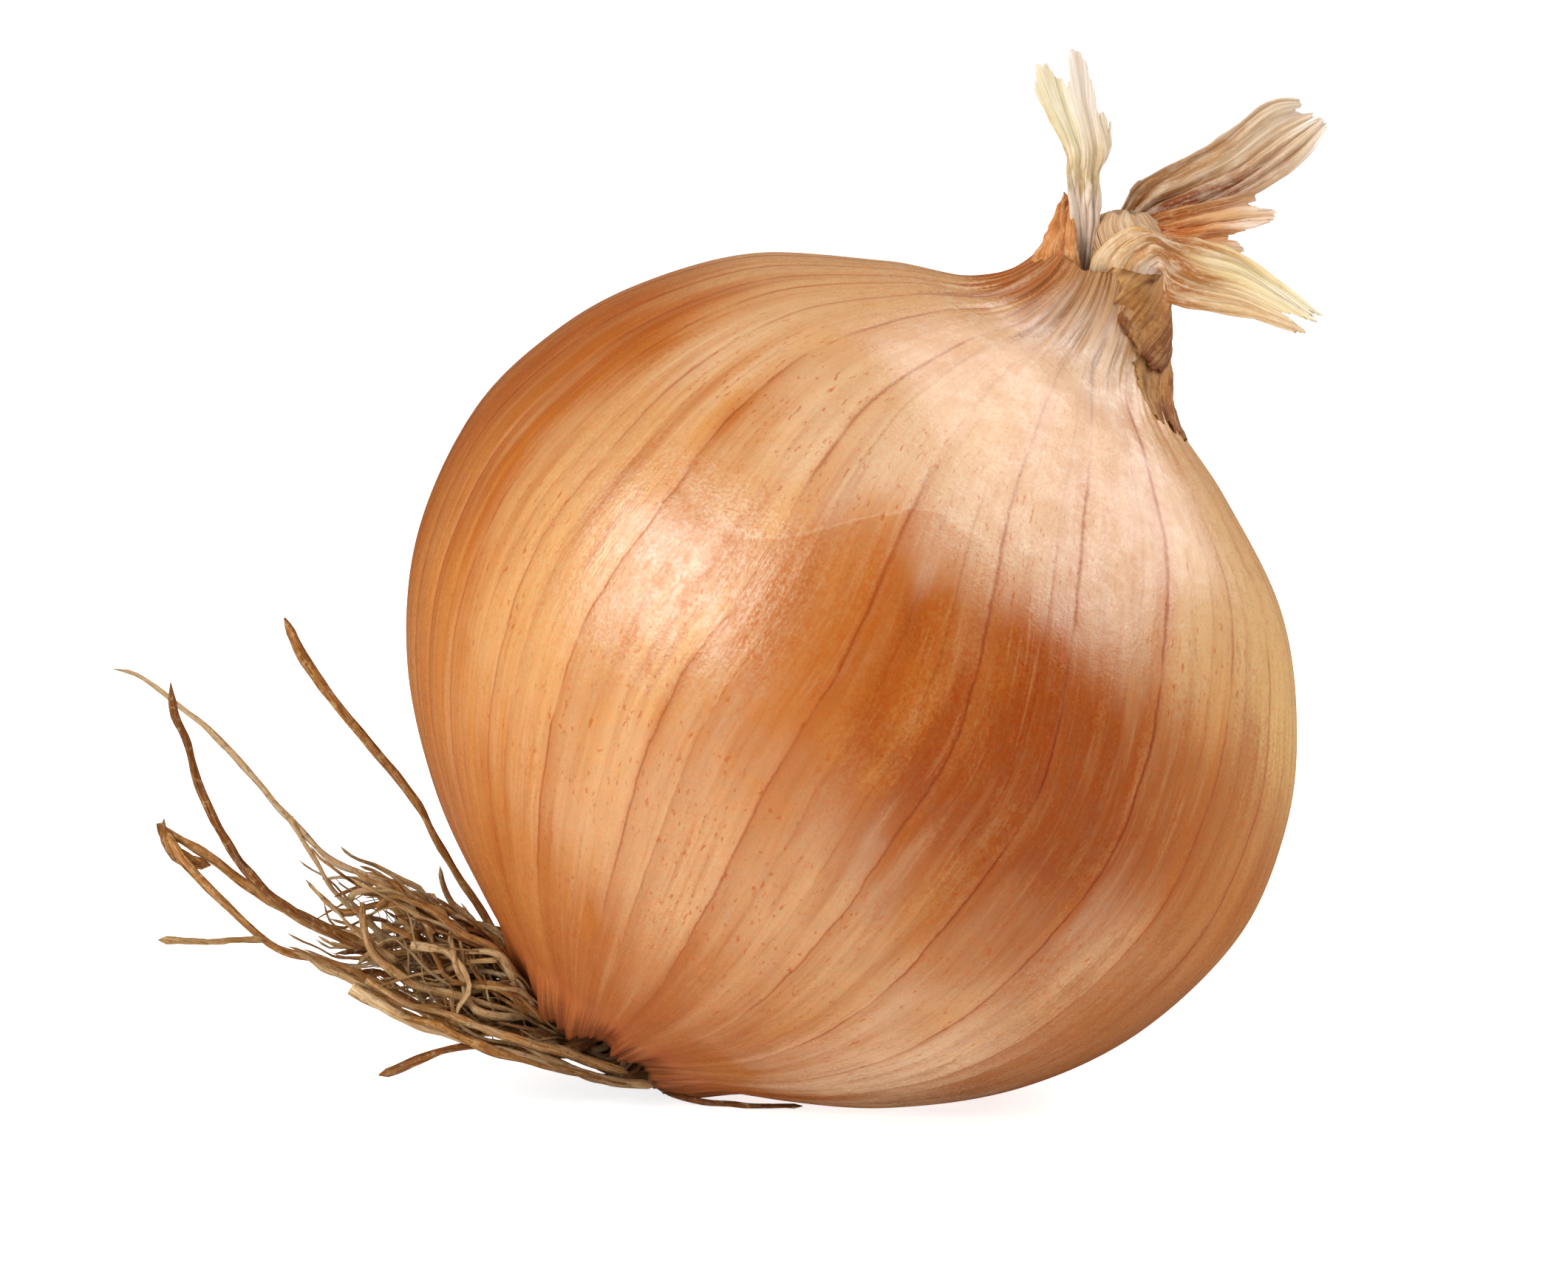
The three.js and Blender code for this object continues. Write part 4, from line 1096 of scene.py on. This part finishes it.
# %% Flaps of torn skin on the right of the neck
make_leaf(
    "upper_flap", "flap_upper", "torn_skin", torn_brown,
    lying_on_skin(
        [(-4, 44.6, -0.75), (2, 43, -0.45), (8, 41.7, -0.1), (18, 40.4, 0.15)],
        [(46, 46, 0.15), (42, 43.6, 0.45), (40, 41, 0.5), (38, 38.9, 0.35)],
        [(98, 46, 0.2), (88, 43.4, 0.3), (70, 40.8, 0.4), (52, 38.6, 0.35)],
        [(128, 43.8, 0), (116, 42.8, 0.1), (100, 41.8, 0.2), (86, 40.8, 0.25)],
    ),
    [1, 0.93, 0.98, 0.9, 0.97, 0.92, 1, 0.94, 0.98], rows=90, strips=120, fold=0.35, folds=4, rib=0.16,
    ribs=17, seed=12, crumple=0.2, torn=0.03, slant=0.4,
)
make_leaf(
    "lower_flap", "flap_lower", "torn_skin", torn_brown,
    lying_on_skin(
        [(32, 40.2, -0.1), (34, 38.6, 0), (39, 37.2, 0.05), (49, 35.7, 0)],
        [(80, 41.2, 0), (76, 38.9, 0.2), (72, 37, 0.2), (68, 35.2, 0.05)],
        [(118, 41.4, 0), (112, 38.8, 0.1), (98, 36.8, 0.1), (80, 35, 0.05)],
    ),
    [0.92, 1, 0.9, 1, 0.92, 1, 0.95], rows=70, strips=80, folds=4, rib=0.14, ribs=14, seed=14, crumple=0.15,
    slant=0.1,
)

# %% [markdown]
# ## The neck
#
# Inside the cut skin the bases of the inner leaves have dried into a twisted, fluted column. It
# is made as the bulb is: a tube, spun, and then shaped ring by ring.

# %% Neck
COLLAR_MIDDLE, COLLAR_SLOPE = Vector((23.8, 0, 37.25)), 0.15
NECK_TO_PART = Matrix.Translation(CENTRE + COLLAR_MIDDLE) @ Matrix.Rotation(math.atan(COLLAR_SLOPE), 4, "Y")
SHEATH_OUTLINE = [
    (0, -3.6), (2.2, -3.6), (2.4, 0.2), (3.3, 0.4), (3.8, 0.9), (3.85, 1.8), (3.7, 2.8), (3.2, 4.0),
    (2.3, 4.8), (1.2, 5.2), (0, 5.1),
]
SHEATH_COLUMNS, FLUTES, FLUTE_DEPTH = 220, 11, 0.07
TWIST, SWAY, FLATNESS = 0.26, 0.06, 0.84  # radians and millimetres for each millimetre of height


def ring_noise(around, fineness, level):
    """Seamless noise round a ring."""
    return noise.noise(Vector((math.cos(around) * fineness, math.sin(around) * fineness, level)))


sheath_line = curve_through(SHEATH_OUTLINE, 10)
neck = spun_tube(len(sheath_line), SHEATH_COLUMNS)
grain = neck.verts.layers.float_vector.new("grain")
for vertex in neck.verts:
    radius, level = sheath_line[round(vertex.co.z)]
    around = math.atan2(vertex.co.x, -vertex.co.y)
    above = max(0.0, level)
    waves = ring_noise(around, 1.8, level * 0.25)
    flute = FLUTE_DEPTH * (math.cos(FLUTES * around + 6 * waves) - 1)
    hairs = 0.16 * ring_noise(around, 9, level * 0.2 + 4) + 0.5 * waves
    body = radius + (flute + hairs) * float(ease(radius, 0.5, 2.5)) * float(ease(level, -0.5, 1.5))
    top = 0.5 * ring_noise(around, 2, radius) * float(ease(level, 2.5, 5))
    twisted = around - TWIST * above
    vertex[grain] = (math.cos(around), math.sin(around), level / 6)
    vertex.co = NECK_TO_PART @ Vector((
        body * math.sin(twisted) + SWAY * above, -body * FLATNESS * math.cos(twisted), level + top,
    ))
close_up(neck)
print("neck column", len(neck.faces), "faces")

# %% Finish of the neck
sheath = Finish("dry_sheath", 0.72)
sheath.grain = sheath.attribute("grain")
thin = sheath.streaks(22.0, 1.4, 2.6)
sheath.tone = sheath.shades(thin, (0.05, "A87244"), (0.34, "C69A6C"), (0.6, "D2AC84"), (0.95, "DEC2A0"))
sheath.tint("E2C6AA", sheath.fade(sheath.streaks(4.0, 1.0, 2.0), 0.45, 0.8), 0.6)
sheath.set("Base Color", sheath.tone)
sheath.set("Specular IOR Level", 0.25)
sheath.raise_by((thin, 0.1))
finish_piece("neck_sheath", neck, sheath, "sheath", "neck")

# %% [markdown]
# ## The roots
#
# Dead roots leave a woody disc under the bulb, bend to the left and lie over each other in a flat
# fan. Each root is a grid rolled into a tube along its own route: across the grid is round the
# root, along it is from the disc to the tip. A few long ones stand clear of the rest.

# %% One root
CROWN = to_part(np.array([(0, 0, -38.7)]))[0]
ROOT_SIDES, RING_STEP = 7, 0.75
LUMPS, RIDGES, TURNS = 0.35, 0.3, 2.5  # shares of the width, and radians from end to end
roots = bmesh.new()
root_grain = roots.verts.layers.float_vector.new("grain")
root_kind = roots.verts.layers.float_vector.new("strand")


def evenly(line, step):
    """The same line with points a step apart."""
    length = lengths_along(line)
    at = np.linspace(0, length[-1], max(6, int(length[-1] / step)) + 1)
    return np.column_stack([np.interp(at, length, line[:, axis]) for axis in range(3)])


def frames_along(spine):
    """Two directions across the root at each point of its spine, which turn as little as they can."""
    side = Vector((0.3, 1, 0.2)).normalized()
    for tangent in np.gradient(spine, axis=0):
        forward = Vector(tangent).normalized()
        side = (side - forward * side.dot(forward)).normalized()
        yield side.copy(), forward.cross(side)


def grow_root(route, thickness, seed, tip_share=0.55, wiggle=0.3, flat=0.6, shade=None):
    """A root along a route in the bulb's frame. Shade is 0 for a dark one, 1 for a pale one."""
    shade = random.Random(seed).random() if shade is None else shade
    spine = to_part(evenly(curve_through(route, 16), RING_STEP))
    for axis in range(3):
        sway = [noise.noise(Vector((k * RING_STEP / 3.2, seed * 1.7, axis * 9.1))) for k in range(len(spine))]
        spine[:, axis] += wiggle * np.array(sway) * ease(np.arange(len(spine)), 0, 6)
    rings = len(spine) - 1
    frames = list(frames_along(spine))
    grid = bmesh.ops.create_grid(roots, x_segments=ROOT_SIDES, y_segments=rings, size=0.5)["verts"]
    for vertex in grid:
        around = (vertex.co.x + 0.5) * FULL_TURN
        k = round((vertex.co.y + 0.5) * rings)
        share = k / rings
        lump = 1 + LUMPS * noise.noise(Vector((k * RING_STEP / 2.4, seed * 2.3, 0)))
        rim = Vector((math.cos(around) * 1.3, math.sin(around) * 1.3 + seed, share * 3))
        ridge = 1 + RIDGES * noise.noise(rim)
        width = thickness / 2 * (1 - (1 - tip_share) * share) * lump * ridge
        width *= float(ease(share, 1.001, 0.97, 0.15, 1))
        first, second = frames[k]
        swing = seed + share * TURNS
        wide = first * math.cos(swing) + second * math.sin(swing)
        tall = second * math.cos(swing) - first * math.sin(swing)
        a, b = math.cos(around + swing) * width, math.sin(around + swing) * width * flat
        vertex.co = Vector(spine[k]) + wide * a + tall * b
        vertex[root_grain] = (math.cos(around) + seed, math.sin(around) - seed, k * RING_STEP / 10)
        vertex[root_kind] = (shade, share, float(np.linalg.norm(spine[k] - CROWN)) / 10)


print("roots have", ROOT_SIDES, "sides")

# %% Long roots
LONG_ROOTS = [
    # thickness, shade and route of the stiff one that climbs past the bulb's side
    (1.25, 0.4, [(-4, 4.5, -38.4), (-6, 5.4, -40.8), (-10, 6.6, -40.2), (-14.5, 7.4, -38.2),
        (-21, 7.2, -35.4), (-27, 6, -32.4), (-36.3, 4, -29.4), (-41.7, 3.5, -27.4), (-45.4, 3, -25.2)]),
    # the pale hair with the furthest tip
    (0.75, 1.0, [(-5, 1, -38.4), (-7, 1.2, -40.9), (-13, 1, -40.6), (-21.3, 1, -39.6), (-25.5, 1, -40),
        (-29.4, 2, -41), (-35.2, 3, -40), (-40.3, 4, -38.8), (-46.1, 5, -37.8), (-52.8, 6, -37.6),
        (-55.6, 6, -38.4)]),
    # its branch
    (0.75, 0.9, [(-34.6, 3, -40.1), (-32.6, 2.4, -41), (-30, 2, -42), (-27, 1, -43.2), (-22, 0, -43.6),
        (-16, 0, -43.4)]),
    # the dark wavy one
    (1.0, 0.2, [(-5.5, -2.5, -38.4), (-7, -3, -41.2), (-16, -2, -44.6), (-24, -1.6, -45.8),
        (-30.5, -2.2, -46.2), (-34.8, -2.4, -45.6), (-39, -3, -44), (-43, -3.4, -41.6), (-46.5, -4, -38.6),
        (-49, -4.4, -37), (-50.8, -4, -34.9)]),
    # two that meet in a hooked, flat end
    (1.35, 0.55, [(-3, 2, -38.4), (-4.4, 2.2, -41.2), (-16, 1.6, -44.2), (-25.7, 0.2, -46.2),
        (-34.4, 0.4, -47), (-38.4, 0.2, -46.7), (-41.8, 0, -47), (-43.7, 0, -47), (-44.1, 0, -46.2)]),
    (1.35, 0.45, [(-2, -4.5, -38.4), (-3.6, -4.8, -41.6), (-13, -5, -46), (-23.4, -4.2, -47.6),
        (-28.4, -4, -49.4), (-31.5, -3.9, -49.5), (-36, -3, -48.9), (-40, -1.6, -48.2), (-42.8, -0.6, -47.4),
        (-44, 0, -46.6)]),
    # the straight one at the bottom left
    (0.95, 0.75, [(-30.6, -4.2, -49.4), (-35.3, -6, -52.6), (-38.6, -6.6, -54.6)]),
    # the thin curl close to the bulb
    (0.8, 0.85, [(-5, 3, -38.4), (-7.5, 3.4, -40.8), (-12.2, 4, -39.9), (-15.1, 4.2, -38.7),
        (-17.8, 4, -38.4), (-19.5, 3.6, -37.4), (-20.8, 3, -36)]),
    # the blunt one that points down and forward
    (1.5, 0.25, [(-1, -5.5, -38.4), (-2.2, -5.9, -41.4), (-5.6, -6.9, -44), (-9.7, -7.6, -46.2),
        (-12.4, -8.4, -48.7), (-14.3, -9, -51.6), (-15.4, -9.3, -53)]),
    # the short one under the tuft
    (1.0, 0.7, [(-1, -4, -38.4), (-2.4, -4.4, -41.6), (-9, -6, -45.6), (-15.7, -6.6, -47.4),
        (-18.8, -7, -47.7), (-21.1, -7, -48.6)]),
    # the loop under the skin's edge
    (1.0, 0.9, [(2, -5.5, -38.4), (2.6, -6.2, -41), (1, -7.4, -42.4), (-3.4, -8, -43.2), (-8, -8.2, -43.6),
        (-12, -8.4, -45)]),
    # the dark strand squeezed between the bulb and the floor
    (0.8, 0.15, [(4.5, -3, -38.4), (6, -4.2, -40.2), (8.6, -5.8, -39.6), (12.5, -7.2, -37.4),
        (15.4, -7.8, -35.5), (17.8, -8, -33.8)]),
]
# loops and flat ribbons at the front of the tuft, from the bulb's middle along the part's own axes
TANGLE = [
    (0.7, 0.85, [(-45.6, -3.4, -19.6), (-44.7, -4, -18.9), (-41.8, -4.4, -18.7), (-39.4, -4.8, -20.6),
        (-40.2, -5, -22.7), (-42.7, -4.8, -23.5), (-44.9, -4.4, -25.4)]),
    (1.15, 0.6, [(-43, -4, -20.4), (-41.4, -4.6, -19.2), (-38.6, -5, -20.4), (-35.7, -5.2, -22.5),
        (-32.4, -5.2, -24.2), (-30.4, -5, -26.9), (-26.8, -4.6, -30.4)]),
    (0.9, 0.75, [(-44.4, -5, -19.8), (-44.2, -5.8, -22.6), (-43, -6, -25), (-39, -6.2, -27.3),
        (-32.4, -6.4, -29), (-26.4, -6.4, -31.7)]),
    (1.2, 0.95, [(-45.4, -7.2, -27.2), (-42.6, -7.8, -28.8), (-39.8, -8, -30.2), (-34.9, -8.4, -31.8),
        (-28.4, -8.4, -33.6), (-22.7, -8, -35.3), (-18, -7.4, -36.2)]),
    (1.1, 0.7, [(-44, -7.6, -26.4), (-40.6, -8.2, -28.4), (-36.4, -8.2, -29.6), (-31, -8.4, -31.6),
        (-26, -8.2, -33), (-20.4, -7.6, -35)]),
    (0.9, 0.5, [(-41.6, -7.8, -29.4), (-37, -8.6, -30.6), (-31.6, -8.8, -32.8), (-26, -8.6, -34.6),
        (-20, -7.8, -36)]),
    (0.8, 0.9, [(-40, -6.8, -23.4), (-36.8, -7.2, -24), (-34.6, -7.4, -27), (-35.8, -7.6, -29.8),
        (-33.2, -7.8, -31.8), (-27.6, -7.6, -32.4)]),
    (1.0, 0.4, [(-42.6, -6, -21.6), (-38.4, -6.6, -23.6), (-36.4, -6.8, -26.4), (-31.6, -6.8, -27.4),
        (-27.6, -6.4, -30.6)]),
    (1.5, 0.35, [(-62.8, -0.4, -13.2), (-62.3, -0.8, -14.9), (-61, -1, -16.3), (-58.2, -1, -16.8)]),
]
upright = Matrix.Rotation(-LEAN, 4, "Y")
for k, (thickness, shade, route) in enumerate(TANGLE):
    route = [upright @ Vector(place) for place in route]
    grow_root(route, thickness, 80 + k, tip_share=0.9, flat=0.4, shade=shade)
for k, (thickness, shade, route) in enumerate(LONG_ROOTS):
    grow_root(route, thickness, 50 + k, tip_share=0.85, wiggle=0.12, shade=shade)
print(len(LONG_ROOTS), "long roots and", len(TANGLE), "loops and ribbons")

# %% The tuft's shape
CROWN_RADIUS, CROWN_TOP, CROWN_BOTTOM = 7.3, -37.8, -39.5
RIM_LEVEL, RIM_RADIUS, RIM_SLOPE = CROWN_BOTTOM - 0.9, 9.6, 0.66
FAN_LEVEL, FAN_SLOPE, HALF_DEPTH = -41.0, 0.12, 3.9
draw = random.Random(5)


def within(limit, value):
    return max(-limit, min(limit, value))


def under_skin(distance):
    """The lowest that the skin comes at a distance from the axis, with room for a root under it."""
    return RIM_LEVEL + RIM_SLOPE * max(0.0, distance - RIM_RADIUS)


def in_tuft(x, y, layer):
    """A place in the fan, its layer going from -1 at the bottom to 1 at the top."""
    half = min(HALF_DEPTH, 1 - 2 * FAN_SLOPE * min(0, x))
    return x, y, min(FAN_LEVEL + FAN_SLOPE * x + half * within(1.05, layer), under_skin(math.hypot(x, y)))


def from_crown(length, thickness, seed, sway, across, shade=None):
    """A root that starts at the woody disc."""
    start_y = -6.0 * across + draw.uniform(-0.5, 0.5)
    reach_x = math.sqrt(max(0.5, CROWN_RADIUS**2 - start_y**2)) - 0.7
    start_x = reach_x * draw.uniform(-1, 1)
    layer = within(1, -start_x / 6 + draw.uniform(-0.5, 0.5))
    end_layer = within(1, layer + draw.uniform(-1.2, 1.2))
    waves = [(draw.uniform(0.2, 1) * sway, draw.uniform(6, 14), draw.uniform(0, 6.3)) for _ in range(2)]
    route = [(start_x, start_y, CROWN_TOP - 0.6)]
    route.append((start_x - 0.5, start_y * 1.02, under_skin(0) - 0.2 * draw.random()))
    stations = round(length / 3) + 1
    for n in range(1, stations + 1):
        share = n / stations
        x = start_x - length * share - 1.5
        side, rise = [s * math.sin(FULL_TURN * x / wave + start) * share**0.5 for s, wave, start in waves]
        y = start_y * (1 + 0.35 * share) + side + draw.uniform(-0.7, 0.7)
        x, y, level = in_tuft(x, y, layer + (end_layer - layer) * share + 0.42 * rise)
        route.append((x, y, level + draw.uniform(-0.35, 0.35)))
    grow_root(route, thickness, seed, shade=shade)


print("the fan is up to", 2 * HALF_DEPTH, "mm deep")

# %% The tuft
TUFT_ROOTS, CROSSING_ROOTS, HAIRS = 90, 70, 90
for k in range(TUFT_ROOTS):
    across = 2 * (k + 0.5) / TUFT_ROOTS - 1
    from_crown(9 + 16 * draw.random() - 2.5 * abs(across), 0.55 + 0.8 * draw.random(), 100 + k, 1.6, across)
for k in range(CROSSING_ROOTS):
    x, y, layer = draw.uniform(-5, -20), draw.uniform(-7, 6), draw.uniform(-1, 1)
    slope, bend = draw.uniform(-0.5, 0.5), draw.uniform(-0.12, 0.12)
    step = draw.uniform(1.0, 2.2)
    route = []
    for n in range(7):
        route.append(in_tuft(x, y, layer))
        x, y, layer = x - step, y + draw.uniform(-0.7, 0.7), layer + slope
        slope += bend
    grow_root(route, draw.uniform(0.4, 0.95), 400 + k, wiggle=0.4, shade=draw.uniform(0.55, 1))
for k in range(HAIRS):
    from_crown(6 + 17 * draw.random(), 0.26, 600 + k, 2.4, draw.uniform(-1, 1), draw.uniform(0.5, 1))

# Each rolled grid is joined along its seam, and its open ends are filled.
bmesh.ops.remove_doubles(roots, verts=roots.verts, dist=0.0008)
open_edges = [edge for edge in roots.edges if edge.is_boundary]
bmesh.ops.holes_fill(roots, edges=open_edges, sides=ROOT_SIDES + 2)
bmesh.ops.recalc_face_normals(roots, faces=roots.faces)
low = min(vertex.co.z for vertex in roots.verts)
print(TUFT_ROOTS + CROSSING_ROOTS + HAIRS, "roots in the tuft, lowest", round(low, 2), "mm")

# %% Finish of the roots
bark = Finish("dry_root", 0.8)
bark.grain = bark.attribute("grain")
own, _, from_middle = bark.split(bark.attribute("strand"))
threads = bark.streaks(7.0, 3.0, 2.4)
crumbs = bark.noise(bark.add("TexCoord").outputs["Object"], 1.5 / MM, 3.0, 0.6)
mixed = bark.total(bark.product(own, 0.65), bark.product(bark.streaks(2.2, 6.0, 2.4), 0.35))
bark.tone = bark.shades(
    mixed, (0.1, "5E2C0C"), (0.32, "98571B"), (0.55, "CA8C44"), (0.78, "EAC088"), (1.0, "FAE4C0"),
)
for pattern, start, end, strength, hex_code in (
    (threads, 0.5, 0.9, 0.4, "E8C8A0"), (threads, 0.45, 0.1, 0.5, "6E3C10"),
    (crumbs, 0.55, 0.66, 0.4, "EECB94"), (crumbs, 0.44, 0.34, 0.4, "6A3A10"),
    (from_middle, 1.5, 0.4, 0.75, "4E260E"),
):
    bark.tint(hex_code, bark.fade(pattern, start, end), strength)
bark.set("Base Color", bark.tone)
bark.set("Specular IOR Level", 0.2)
bark.raise_by((threads, 0.12), (crumbs, 0.12))
finish_piece("root_tuft", roots, bark, "root", "roots")
